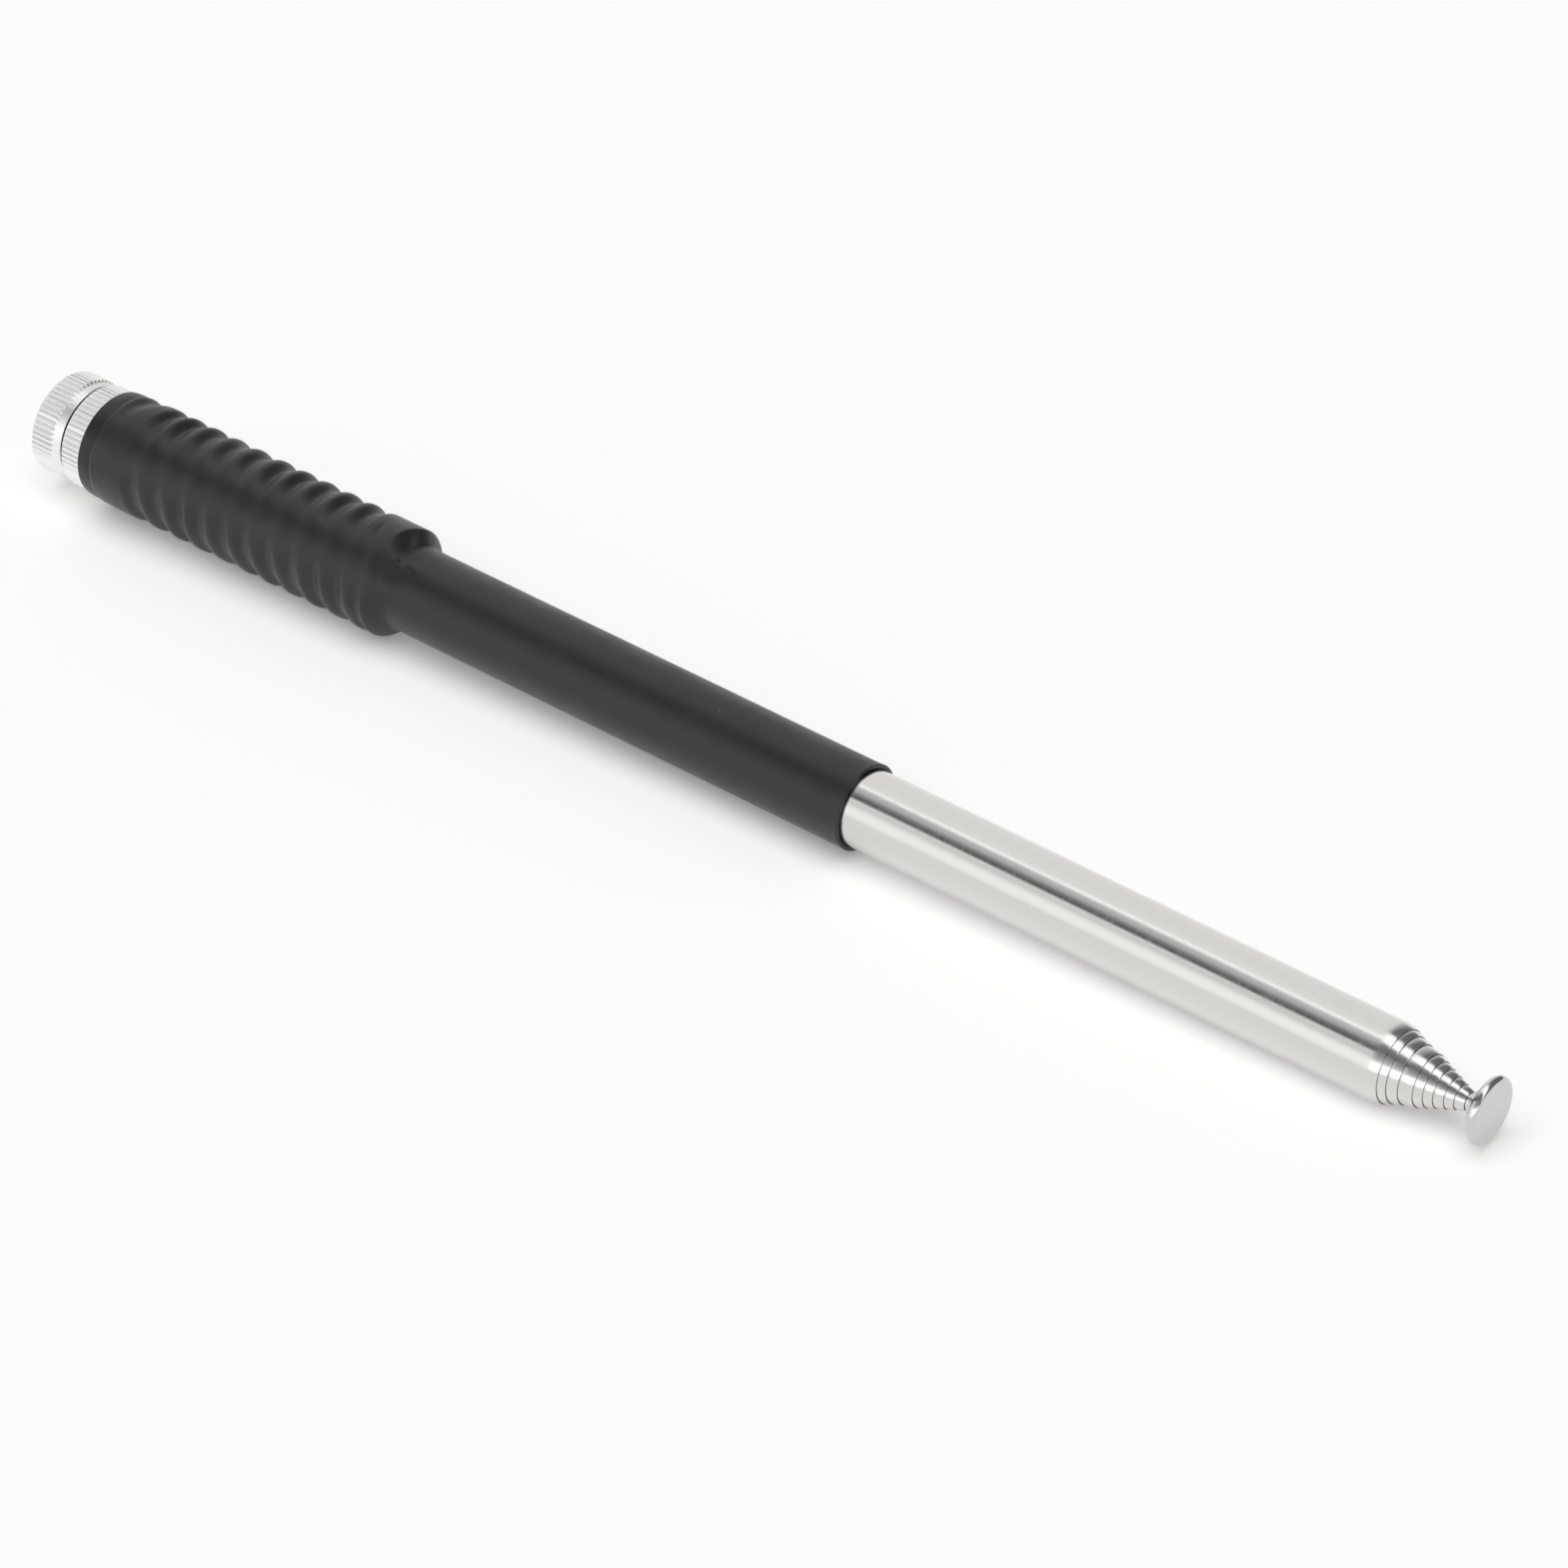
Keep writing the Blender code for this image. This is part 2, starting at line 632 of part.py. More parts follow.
def build():
    for old in list(bpy.data.objects):
        bpy.data.objects.remove(old)
    nickel = material("nickel_plate", (0.78, 0.78, 0.76), 1.0, 0.18)
    plastic = material("white_plastic", (0.88, 0.88, 0.85), 0.0, 0.4)
    gold = material("gold_plate", (0.95, 0.69, 0.30), 1.0, 0.2)
    nylon = material("nylon_rod", (0.75, 0.73, 0.68), 0.0, 0.5)
    copper = material("enamelled_copper", (0.55, 0.22, 0.11), 1.0, 0.3)
    solder = material("solder", (0.62, 0.62, 0.62), 1.0, 0.35)
    brass = material("brass", (0.78, 0.60, 0.30), 1.0, 0.3)
    bronze = material("spring_bronze", (0.70, 0.45, 0.22), 1.0, 0.3)
    black = material("heat_shrink", (0.03, 0.03, 0.032), 0.0, 0.45)

    frame = add_empty("antenna_frame", None)
    add_connector(frame, nickel)
    add_insulator(frame, plastic)
    add_pin(frame, gold)
    add_former(frame, nylon)
    add_coil(frame, copper)
    add_solder(frame, solder)
    add_ferrule(frame, brass)
    add_sleeve(frame, black)
    add_outer_tube(frame, nickel)

    carrier = frame
    place = FOOT
    for section in range(2, SECTIONS):
        carrier = add_draw(section, carrier, place)
        place = 0
        add_tube(section, carrier, nickel)
        add_bush(f"foot_bush_{section}", section, carrier, bronze)
    carrier = add_draw(SECTIONS, carrier, place)
    add_rod(SECTIONS, carrier, nickel)
    add_bush("tip_bush", SECTIONS, carrier, bronze)
    add_cap(carrier, nickel)
    lay_down(frame)


build()
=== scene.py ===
"""Looks of a collapsed whip antenna lying on a pale floor.

Every surface is worked out along the antenna, from its connector's face towards its tip, in the
antenna's own axes: stations along it, and an angle round it that starts at +Y and turns towards +Z.
"""

import json
import math

import bmesh
import bpy
import numpy as np
from bpy.props import (
    FloatProperty, FloatVectorProperty, IntProperty, PointerProperty, StringProperty)
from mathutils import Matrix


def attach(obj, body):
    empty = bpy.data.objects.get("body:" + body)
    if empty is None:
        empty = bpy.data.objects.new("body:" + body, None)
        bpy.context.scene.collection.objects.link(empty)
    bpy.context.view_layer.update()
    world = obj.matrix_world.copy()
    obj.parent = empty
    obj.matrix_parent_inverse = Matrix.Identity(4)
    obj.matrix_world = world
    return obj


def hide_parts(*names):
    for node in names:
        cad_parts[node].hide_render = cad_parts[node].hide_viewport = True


bl_info = {
    "name": "Telescopic Antenna",
    "version": (1, 0, 0),
    "blender": (4, 5, 0),
    "location": "View3D > Sidebar > Antenna",
    "description": "Adds the surfaces, finishes, floor, light and camera of a telescopic antenna",
    "category": "Add Mesh",
}

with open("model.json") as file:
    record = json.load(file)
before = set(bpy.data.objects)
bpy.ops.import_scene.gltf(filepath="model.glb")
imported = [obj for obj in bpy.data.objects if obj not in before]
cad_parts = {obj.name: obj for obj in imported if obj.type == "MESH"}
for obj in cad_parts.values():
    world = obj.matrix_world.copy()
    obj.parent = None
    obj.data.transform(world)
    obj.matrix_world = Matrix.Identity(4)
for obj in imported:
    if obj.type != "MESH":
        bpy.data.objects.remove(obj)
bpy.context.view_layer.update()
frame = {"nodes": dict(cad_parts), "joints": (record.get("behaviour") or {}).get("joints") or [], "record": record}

MM = 0.001
TURN = 2 * math.pi

# Points closer than the weld are one point, and edges bent by more degrees look sharp
WELD = 0.5e-6
SHARP_ANGLE = 32

# The antenna's own axes, from the first slide's direction and the connector face's mount, which
# sits on the face's ring, above the axis
AXIS = np.array(frame["joints"][0]["axis"], float)
LIE = math.atan2(-AXIS[2], AXIS[0])
RISE = np.array((math.sin(LIE), 0, math.cos(LIE)))
ACROSS = np.array((0.0, 1.0, 0.0))
FACE_MOUNT_HEIGHT = 4.7 * MM
FACE_MOUNT = next(mount for mount in frame["record"]["mounts"] if mount["name"] == "connector_face")
FACE = np.array(FACE_MOUNT["pos_m"]) - FACE_MOUNT_HEIGHT * RISE

# The solids' rounds have flats, and this is a flat's distance as a share of a corner's
CAD_SIDES = 20
FLAT = math.cos(math.pi / CAD_SIDES)

# Where the connector's face lies in the camera's view: right, up and away. The lens is as long as
# 6981 pixels of a view that is 1569 pixels wide.
FACE_RIGHT = -84.68 * MM
FACE_UP = 42.98 * MM
FACE_AWAY = 825.06 * MM
SENSOR = 36.0
LENS_PER_WIDTH = 6981 / 1569


def reach(node):
    """First station, last station and radius of a solid, from its points' places along the axis."""
    mesh = frame["nodes"][node].data
    places = np.empty(len(mesh.vertices) * 3, np.float32)
    mesh.vertices.foreach_get("co", places)
    out = places.reshape(-1, 3) - FACE
    along = out @ AXIS
    away = np.linalg.norm(out - np.outer(along, AXIS), axis=1)
    return float(along.min()), float(along.max()), float(away.max() * FLAT)


SLEEVE_START, SLEEVE_END, CREST_R = reach("heat_shrink_sleeve")
CONNECTOR_END = reach("connector_body")[1]
MAST_MOUTH, MAST_R = reach("mast_tube_1")[1:]
CAP_START, CAP_END, CAP_R = reach("tip_cap")

# Mast: its sections count the outer tube and the rod, and each sliding one flares at its foot
SECTIONS = 10
ROD_R = 1.0 * MM
FLARE = 0.1 * MM
FLARE_LENGTH = 0.35 * MM

# Connector: its bore, and the notch in front of its rear band
BORE_R = 3.175 * MM
NOTCH_START = 4.4 * MM
NOTCH_END = 4.7 * MM


class AntennaSizes(bpy.types.PropertyGroup):
    """Sizes that shape the visible surfaces."""

    knurl_radius: FloatProperty(
        name="Knurl radius", description="Radius over the connector's teeth", default=6.35 * MM,
        subtype="DISTANCE", unit="LENGTH")
    knurl_teeth: IntProperty(
        name="Knurl teeth", description="Teeth round the connector", default=58, min=12)
    tooth_depth: FloatProperty(
        name="Tooth depth", description="Depth of the grooves between teeth", default=0.27 * MM,
        subtype="DISTANCE", unit="LENGTH")
    thread_pitch: FloatProperty(
        name="Thread pitch", description="Advance of the bore's thread in a turn, 36 to the inch",
        default=25.4 / 36 * MM, subtype="DISTANCE", unit="LENGTH")
    thread_depth: FloatProperty(
        name="Thread depth", description="Depth of the bore's thread", default=0.36 * MM,
        subtype="DISTANCE", unit="LENGTH")
    coil_pitch: FloatProperty(
        name="Coil pitch", description="Distance between the sleeve's ridges", default=3.52 * MM,
        subtype="DISTANCE", unit="LENGTH")
    ridge_depth: FloatProperty(
        name="Ridge depth", description="Depth of the valleys between the sleeve's ridges",
        default=0.74 * MM, subtype="DISTANCE", unit="LENGTH")
    tube_wall: FloatProperty(
        name="Tube wall", description="Wall of each mast tube", default=0.25 * MM,
        subtype="DISTANCE", unit="LENGTH")


class AntennaFinishes(bpy.types.PropertyGroup):
    """Colours of the finishes, as sRGB hex values."""

    nickel: StringProperty(name="Nickel", description="Plating of the mast", default="#D6D5D2")
    connector: StringProperty(
        name="Connector", description="Plating of the connector", default="#F0F0EF")
    cap: StringProperty(name="Cap", description="Plating of the cap", default="#CDCDCB")
    sleeve: StringProperty(name="Sleeve", description="Heat-shrink sleeve", default="#1B1B1C")
    gold: StringProperty(name="Gold", description="Plating of the centre pin", default="#F6CF78")
    insulator: StringProperty(
        name="Insulator", description="Bush round the centre pin", default="#F0EFEA")


class AntennaStage(bpy.types.PropertyGroup):
    """Floor, light and camera."""

    camera_azimuth: FloatProperty(
        name="Camera azimuth", description="Angle of the camera round the antenna",
        default=math.radians(38.95), subtype="ANGLE", unit="ROTATION")
    camera_elevation: FloatProperty(
        name="Camera elevation", description="Angle of the camera above the floor",
        default=math.radians(35.6), subtype="ANGLE", unit="ROTATION")
    floor_colour: StringProperty(name="Floor", description="Colour of the floor", default="#FDFDFD")
    sun_strength: FloatProperty(
        name="Light", description="Strength of the soft light from above", default=1.65, min=0)
    sun_direction: FloatVectorProperty(
        name="Light from", description="Direction that the soft light comes from",
        default=(0.05, -0.32, 1.0), subtype="DIRECTION")
    sky_strength: FloatProperty(
        name="Sky", description="Even light from all round", default=0.26, min=0)
    floor_glow: FloatProperty(
        name="Floor glow", description="Light that comes up through the white table", default=0.22,
        min=0)


def to_world(along, away, angle):
    """Points at stations, distances from the axis and angles round it, as an array of places."""
    return (
        FACE
        + np.multiply.outer(along, AXIS)
        + np.multiply.outer(away * np.cos(angle), ACROSS)
        + np.multiply.outer(away * np.sin(angle), RISE)
    )


def angles(columns):
    """The angles round the axis of a surface's columns."""
    return np.arange(columns) * TURN / columns


def add_piece(name, points, faces, material, body, replaced, slot, sharp=SHARP_ANGLE):
    mesh = bpy.data.meshes.new(name)
    mesh.from_pydata(points.reshape(-1, 3), [], faces)
    tidy = bmesh.new()
    tidy.from_mesh(mesh)
    bmesh.ops.remove_doubles(tidy, verts=tidy.verts, dist=WELD)
    bmesh.ops.recalc_face_normals(tidy, faces=tidy.faces)
    tidy.to_mesh(mesh)
    tidy.free()
    mesh.shade_smooth()
    mesh.set_sharp_from_angle(angle=math.radians(sharp))
    piece = bpy.data.objects.new(name, mesh)
    bpy.context.scene.collection.objects.link(piece)
    piece.data.materials.append(material)
    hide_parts(replaced)
    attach(piece, body)


def add_round_piece(name, rows, closed, *finish, **shading):
    """Makes a round piece from rows of (stations, radii), each an array round the axis.

    Each row is joined to the next by quads, and the last to the first if the section is closed.
    Rows on the axis shrink to a single point.
    """
    along, away = rows
    points = to_world(along, away, np.broadcast_to(angles(along.shape[1]), along.shape))
    index = np.arange(along.size).reshape(along.shape)
    here = index if closed else index[:-1]
    ahead = np.roll(index, -1, axis=0) if closed else index[1:]
    quads = np.stack((here, np.roll(here, -1, axis=1), np.roll(ahead, -1, axis=1), ahead), axis=-1)
    add_piece(name, points, quads.reshape(-1, 4), *finish, **shading)


def rounded(corners, radius, steps=5, closed=True):
    """A profile with each corner turned into a curve that leaves its sides at the radius or less.

    The curve is the corner's quadratic one: (1-s)^2 start + 2s(1-s) corner + s^2 end. It takes up
    at most 0.45 of a side.
    """
    def share(side):
        length = np.linalg.norm(side)
        return min(radius / length, 0.45) if length else 0

    corners = [np.array(corner, float) for corner in corners]
    s = np.linspace(0, 1, steps)[:, None]
    path = []
    for number, corner in enumerate(corners):
        if not closed and number in (0, len(corners) - 1):
            path.append(corner[None])
            continue
        before = corners[number - 1] - corner
        after = corners[(number + 1) % len(corners)] - corner
        start = corner + before * share(before)
        end = corner + after * share(after)
        path.append((1 - s) ** 2 * start + 2 * s * (1 - s) * corner + s**2 * end)
    return np.concatenate(path)


def turned_rows(profile, columns):
    """Rows of a plain turned piece: every station and radius repeated round the axis."""
    along = np.repeat(profile[:, :1], columns, axis=1)
    away = np.repeat(profile[:, 1:], columns, axis=1)
    return along, away


def smooth_step(value, low, high):
    """0 below low, 1 above high and 3s^2 - 2s^3 between."""
    s = np.clip((value - low) / (high - low), 0, 1)
    return s * s * (3 - 2 * s)


def hill(along, angle, station, bearing, length, width, radius):
    """A smooth bump of height 1: exp of minus the squared distances over its length and width."""
    around = (angle - bearing + math.pi) % TURN - math.pi
    return np.exp(-(((along - station) / length) ** 2) - (around * radius / width) ** 2)


def waves(along, angle, seed, count, longest, shortest):
    """A sum of sine waves with seeded lengths, whole numbers of turns and phases, about 1 high."""
    dice = np.random.default_rng(seed)
    total = np.zeros(np.broadcast(along, angle).shape)
    for _ in range(count):
        length = dice.uniform(shortest, longest)
        turns = dice.integers(0, 5)
        total += np.sin(TURN * along / length + turns * angle + dice.uniform(0, TURN))
    return total / math.sqrt(count)


def linear(hex_colour):
    """An sRGB hex colour as a linear RGBA value."""
    channels = [int(hex_colour[place:place + 2], 16) / 255 for place in (1, 3, 5)]
    return [c / 12.92 if c <= 0.04045 else ((c + 0.055) / 1.055) ** 2.4 for c in channels] + [1.0]


def set_inputs(tree, node, inputs):
    """Gives inputs of a node their values, or links from a socket or from a node's first output."""
    for name, value in inputs.items():
        if isinstance(value, bpy.types.Node):
            value = next(output for output in value.outputs if output.enabled)
        if isinstance(value, bpy.types.NodeSocket):
            tree.links.new(value, node.inputs[name])
        else:
            node.inputs[name].default_value = value


def add_node(tree, kind, *values, **named):
    """Adds a shader node with its settings and links.

    The values fill its inputs in order. A name with a capital is an input, and any other a setting.
    """
    node = tree.nodes.new("ShaderNode" + kind)
    for name, value in named.items():
        if name.islower():
            setattr(node, name, value)
    inputs = {name: value for name, value in named.items() if not name.islower()}
    set_inputs(tree, node, dict(enumerate(values)) | inputs)
    return node


def new_material(name, colour, metallic, roughness, ior=1.5):
    """A material, its node tree and its shader, with the plain values set on the shader."""
    made = bpy.data.materials.new(name)
    made.use_nodes = True
    tree = made.node_tree
    shader = tree.nodes["Principled BSDF"]
    set_inputs(tree, shader, {
        "Base Color": linear(colour), "Metallic": metallic, "Roughness": roughness, "IOR": ior})
    return made, tree, shader


def antenna_mm(tree, stretch=(1, 1, 1)):
    """Places in millimetres along the antenna's own axes, each times its stretch."""
    place = add_node(tree, "TexCoord").outputs["Object"]
    return add_node(
        tree, "Mapping", Vector=place, Location=FACE, Rotation=(0, LIE, 0),
        Scale=[MM / factor for factor in stretch], vector_type="TEXTURE")


def nickel_tube(colour):
    """Nickel plate on drawn brass tube, polished as it spins: a clean mirror with fine rings.

    The real rings are a few hundredths of a millimetre wide. They are drawn about 0.2 mm wide so
    that they show.
    """
    made, tree, shader = new_material("nickel_plated_drawn_tube", colour, 1.0, 0.12)
    rings, wear = (
        add_node(
            tree, "TexNoise", Vector=antenna_mm(tree, stretch), Scale=1.0, Detail=3.0,
            Roughness=0.6)
        for stretch in ((5, 0.35, 0.35), (0.9, 0.5, 0.5)))
    ringed = add_node(tree, "MapRange", rings, 0.3, 0.75, 0.05, 0.2)
    worn = add_node(tree, "MapRange", wear, 0.4, 0.7, 0.0, 0.07)
    rough = add_node(tree, "Math", ringed, worn, operation="ADD")
    bump = add_node(tree, "Bump", Height=rings, Strength=0.35, Distance=0.02 * MM)
    set_inputs(tree, shader, {"Roughness": rough, "Normal": bump})
    return made


def nickel_turned(colour):
    """Nickel plate on turned brass: satin bright, with pits a tenth of a millimetre wide.

    The end face is mottled and pitted. Painted shade darkens the roots of the bore's thread,
    and painted shade makes the notch dark between its two stations and below the neck.
    """
    made, tree, shader = new_material("nickel_plated_turned_brass", colour, 1.0, 0.3)
    place = antenna_mm(tree)
    station, across, up = add_node(tree, "SeparateXYZ", place).outputs
    radial = add_node(tree, "CombineXYZ", 0, across, up)
    radius = add_node(tree, "VectorMath", radial, operation="LENGTH")
    grain = add_node(tree, "TexNoise", Vector=place, Scale=3.5, Detail=4.0, Roughness=0.65)
    cloud = add_node(tree, "TexNoise", Vector=place, Scale=1.1, Detail=5.0, Roughness=0.7)
    pits = add_node(tree, "TexVoronoi", Vector=place, Scale=1.6)

    # Where each tint lies and how strong it is there, in millimetres from the face and the axis
    end_face = add_node(tree, "MapRange", station, 0.03, 0.12, 1.0, 0.0)
    mottle = add_node(tree, "MapRange", cloud, 0.42, 0.7, 0.0, 0.38)
    in_pit = add_node(tree, "MapRange", pits, 0.04, 0.12, 0.6, 0.0)
    in_bore = add_node(tree, "MapRange", radius, 3.19, 3.22, 1.0, 0.0)
    # painted shade: the roots of the bore's thread are darker
    root_painted_shade = add_node(tree, "MapRange", radius, 2.92, 3.12, 0.0, 1.0)
    # painted shade: the notch is dark below the neck
    below_neck = add_node(tree, "MapRange", radius, 5.8, 5.9, 1.0, 0.0)
    notch_middle = (NOTCH_START + NOTCH_END) / 2 / MM
    notch_painted_shade = add_node(tree, "Math", station, notch_middle, 0.2, operation="COMPARE")
    tone = linear(colour)
    # The last two tints are painted shade, in the thread's roots and in the notch
    for tint, area, strength in (
            ("#A9A8A5", end_face, mottle), ("#5A5855", end_face, in_pit),
            ("#55534F", in_bore, root_painted_shade), ("#2E2C29", below_neck, notch_painted_shade)):
        share = add_node(tree, "Math", area, strength, operation="MULTIPLY")
        tone = add_node(tree, "Mix", Factor=share, A=tone, B=linear(tint), data_type="RGBA")

    sheen = add_node(tree, "MapRange", grain, 0.3, 0.7, 0.36, 0.46)
    grained = add_node(tree, "Bump", Height=grain, Strength=0.2, Distance=0.02 * MM)
    depth = add_node(tree, "MapRange", pits, 0.05, 0.16, 0.0, 1.0)
    pitted = add_node(
        tree, "Bump", Height=depth, Strength=0.3, Distance=0.03 * MM, Normal=grained)
    set_inputs(tree, shader, {"Base Color": tone, "Roughness": sheen, "Normal": pitted})
    return made


def polished_cap(colour):
    """Nickel plate polished to a mirror, with the faint smears that fingers leave."""
    made, tree, shader = new_material("polished_nickel_plate", colour, 1.0, 0.08)
    smear = add_node(
        tree, "TexNoise", Vector=antenna_mm(tree), Scale=0.9, Detail=3.0, Roughness=0.6)
    sheen = add_node(tree, "MapRange", smear, 0.35, 0.7, 0.04, 0.2)
    bump = add_node(tree, "Bump", Height=smear, Strength=0.12, Distance=0.05 * MM)
    set_inputs(tree, shader, {"Roughness": sheen, "Normal": bump})
    return made


def heat_shrink(colour):
    """Shrunk polyolefin tubing: satin black skin with a fine grain, scuffs and specks of dust.

    It is darker in its first two millimetres, over the knurl.
    """
    made, tree, shader = new_material("shrunk_polyolefin_tubing", colour, 0.0, 0.42)
    place = antenna_mm(tree)
    grain = add_node(tree, "TexNoise", Vector=place, Scale=7.0, Detail=3.0, Roughness=0.6)
    scuffs = add_node(
        tree, "TexNoise", Vector=antenna_mm(tree, (0.25, 0.5, 0.5)), Scale=1.0,
        Detail=4.0, Roughness=0.55)
    patches = add_node(tree, "TexNoise", Vector=place, Scale=0.3)
    specks = add_node(tree, "TexVoronoi", Vector=place, Scale=0.42)
    size = add_node(tree, "MapRange", patches, 0.45, 0.7, 0.0, 0.05)
    dust = add_node(tree, "Math", specks, size, operation="LESS_THAN")

    station = add_node(tree, "SeparateXYZ", place)
    band_end = SLEEVE_START / MM + 2.1
    past_band = add_node(tree, "MapRange", station, band_end - 0.2, band_end + 0.1, 0, 1)
    skin = add_node(
        tree, "Mix", Factor=past_band, A=linear("#0B0B0C"), B=linear(colour),
        data_type="RGBA")
    dusty = add_node(tree, "Mix", Factor=dust, A=skin, B=linear("#8A8A88"), data_type="RGBA")
    rough = add_node(tree, "MapRange", scuffs, 0.3, 0.7, 0.36, 0.47)
    bump = add_node(tree, "Bump", Height=grain, Strength=0.18, Distance=0.03 * MM)
    set_inputs(tree, shader, {
        "Base Color": dusty, "Roughness": rough, "Normal": bump, "Sheen Weight": 0.07,
        "Sheen Roughness": 0.35})
    return made


def gold_plate(colour):
    """Gold plate on a turned pin: warm, bright, with turning rings."""
    made, tree, shader = new_material("gold_plated_turned_pin", colour, 1.0, 0.16)
    rings = add_node(tree, "TexNoise", Vector=antenna_mm(tree, (9, 0.5, 0.5)), Scale=1.0)
    sheen = add_node(tree, "MapRange", rings, 0.3, 0.7, 0.1, 0.26)
    bump = add_node(tree, "Bump", Height=rings, Strength=0.15, Distance=0.01 * MM)
    set_inputs(tree, shader, {"Roughness": sheen, "Normal": bump})
    return made


def fluoroplastic(colour):
    """Turned fluoroplastic: waxy white, lit a little from inside."""
    made, tree, shader = new_material("turned_fluoroplastic", colour, 0.0, 0.4, ior=1.35)
    rings = add_node(tree, "TexNoise", Vector=antenna_mm(tree), Scale=4.0)
    sheen = add_node(tree, "MapRange", rings, 0.3, 0.7, 0.32, 0.5)
    set_inputs(tree, shader, {
        "Roughness": sheen, "Subsurface Weight": 0.15, "Subsurface Scale": 0.5 * MM})
    return made


def inner_finish(name, colour, metallic, roughness, grain_per_mm):
    """A plain workshop finish for a piece inside the sleeve: its colour with an uneven sheen."""
    made, tree, shader = new_material(name, colour, metallic, roughness)
    grain = add_node(tree, "TexNoise", Vector=antenna_mm(tree), Scale=grain_per_mm)
    sheen = add_node(tree, "MapRange", grain, 0.3, 0.7, roughness * 0.7, min(1.0, roughness * 1.3))
    bump = add_node(tree, "Bump", Height=grain, Strength=0.1, Distance=0.02 * MM)
    set_inputs(tree, shader, {"Roughness": sheen, "Normal": bump})
    return made


class ANTENNA_OT_connector(bpy.types.Operator):
    """Add the turned connector body with its teeth, neck, end face and threaded bore"""

    bl_idname = "antenna.connector"
    bl_label = "Connector"

    FRONT_END = 3.4 * MM
    NECK_DROP = 0.12 * MM
    NOTCH_DEPTH = 0.45 * MM
    NOTCH_SLOPE = 0.03 * MM
    NOTCH_LIP = 0.1 * MM
    CORNER = 0.14 * MM
    BORE_DEPTH = 5.0 * MM
    BUSH_R = 2.09 * MM
    SOCKET_R = 4.04 * MM
    SOCKET_DEPTH = 2.0 * MM
    EDGE = 0.28 * MM
    COLUMNS_PER_TOOTH = 8
    GROOVE_HALF = 0.3
    GROOVE_DEPTHS = (0.8, 1.15)
    TIP_DROP = 0.03 * MM
    THREAD_ROWS = 76
    THREAD_STRETCH = 1.35
    THREAD_FLAT = 0.15

    def tooth(self, columns, sizes):
        """Radius round the teeth: the tip's radius less a rounded V, uneven from tooth to tooth.

        The V falls as 1 - |s| / h within its half width h, and each tooth's depth and height vary
        a little, as on a worn knurling wheel.
        """
        place = np.arange(columns) / self.COLUMNS_PER_TOOTH
        tooth = place.astype(int) % sizes.knurl_teeth
        s = place % 1 - 0.5
        dice = np.random.default_rng(7)
        depth = sizes.tooth_depth * dice.uniform(*self.GROOVE_DEPTHS, sizes.knurl_teeth)[tooth]
        drop = self.TIP_DROP * dice.uniform(0, 1, sizes.knurl_teeth)[tooth]
        groove = np.clip(1 - np.abs(s) / self.GROOVE_HALF, 0, 1)
        return sizes.knurl_radius - drop - depth * groove

    def execute(self, context):
        sizes = context.scene.antenna_sizes
        columns = sizes.knurl_teeth * self.COLUMNS_PER_TOOTH
        knurl = sizes.knurl_radius
        valley = knurl - sizes.tooth_depth
        neck = valley - self.NECK_DROP
        outside = rounded(
            [
                (0, BORE_R + self.EDGE),
                (0, knurl - self.EDGE),
                (self.EDGE, knurl),
                (self.FRONT_END - self.EDGE, knurl),
                (self.FRONT_END, valley),
                (NOTCH_START, neck),
                (NOTCH_START + self.NOTCH_SLOPE, neck - self.NOTCH_DEPTH),
                (NOTCH_END - self.NOTCH_SLOPE, neck - self.NOTCH_DEPTH),
                (NOTCH_END, valley - self.NOTCH_LIP),
                (NOTCH_END + self.EDGE, knurl),
                (CONNECTOR_END - self.EDGE, knurl),
                (CONNECTOR_END, valley),
                (CONNECTOR_END, self.SOCKET_R),
                (CONNECTOR_END - self.SOCKET_DEPTH, self.SOCKET_R),
                (CONNECTOR_END - self.SOCKET_DEPTH, self.BUSH_R),
                (self.BORE_DEPTH, self.BUSH_R),
            ],
            self.CORNER, closed=False)
        along, away = turned_rows(outside, columns)
        away = np.minimum(away, np.maximum(self.tooth(columns, sizes), neck - self.NOTCH_DEPTH))
        station = np.linspace(self.BORE_DEPTH, 0.02 * MM, self.THREAD_ROWS)[:, None]
        turn = angles(columns)[None] / TURN
        inside = self.thread(station, turn, sizes)
        along = np.concatenate((along, np.broadcast_to(station, inside.shape)))
        away = np.concatenate((away, inside))
        material = nickel_turned(context.scene.antenna_finishes.connector)
        add_round_piece(
            "connector_shell", (along, away), True, material, "base", "connector_body",
            "nickel_plate")
        return {"FINISHED"}

    def thread(self, station, turn, sizes):
        """The bore's radius: a right-handed 60 degree thread, opened by the mouth's chamfer.

        The thread falls and rises as a clipped triangle wave of stations over the pitch less the
        turn, and it fades out in the last half turn before the bore's floor.
        """
        wave = np.abs(((station / sizes.thread_pitch - turn) % 1) - 0.5) * 2
        crest = np.clip(wave * self.THREAD_STRETCH - self.THREAD_FLAT, 0, 1)
        fade = smooth_step(self.BORE_DEPTH - station, 0, sizes.thread_pitch / 2)
        cut = BORE_R - sizes.thread_depth * crest * fade
        chamfer = BORE_R + self.EDGE - station
        return np.maximum(cut, chamfer)


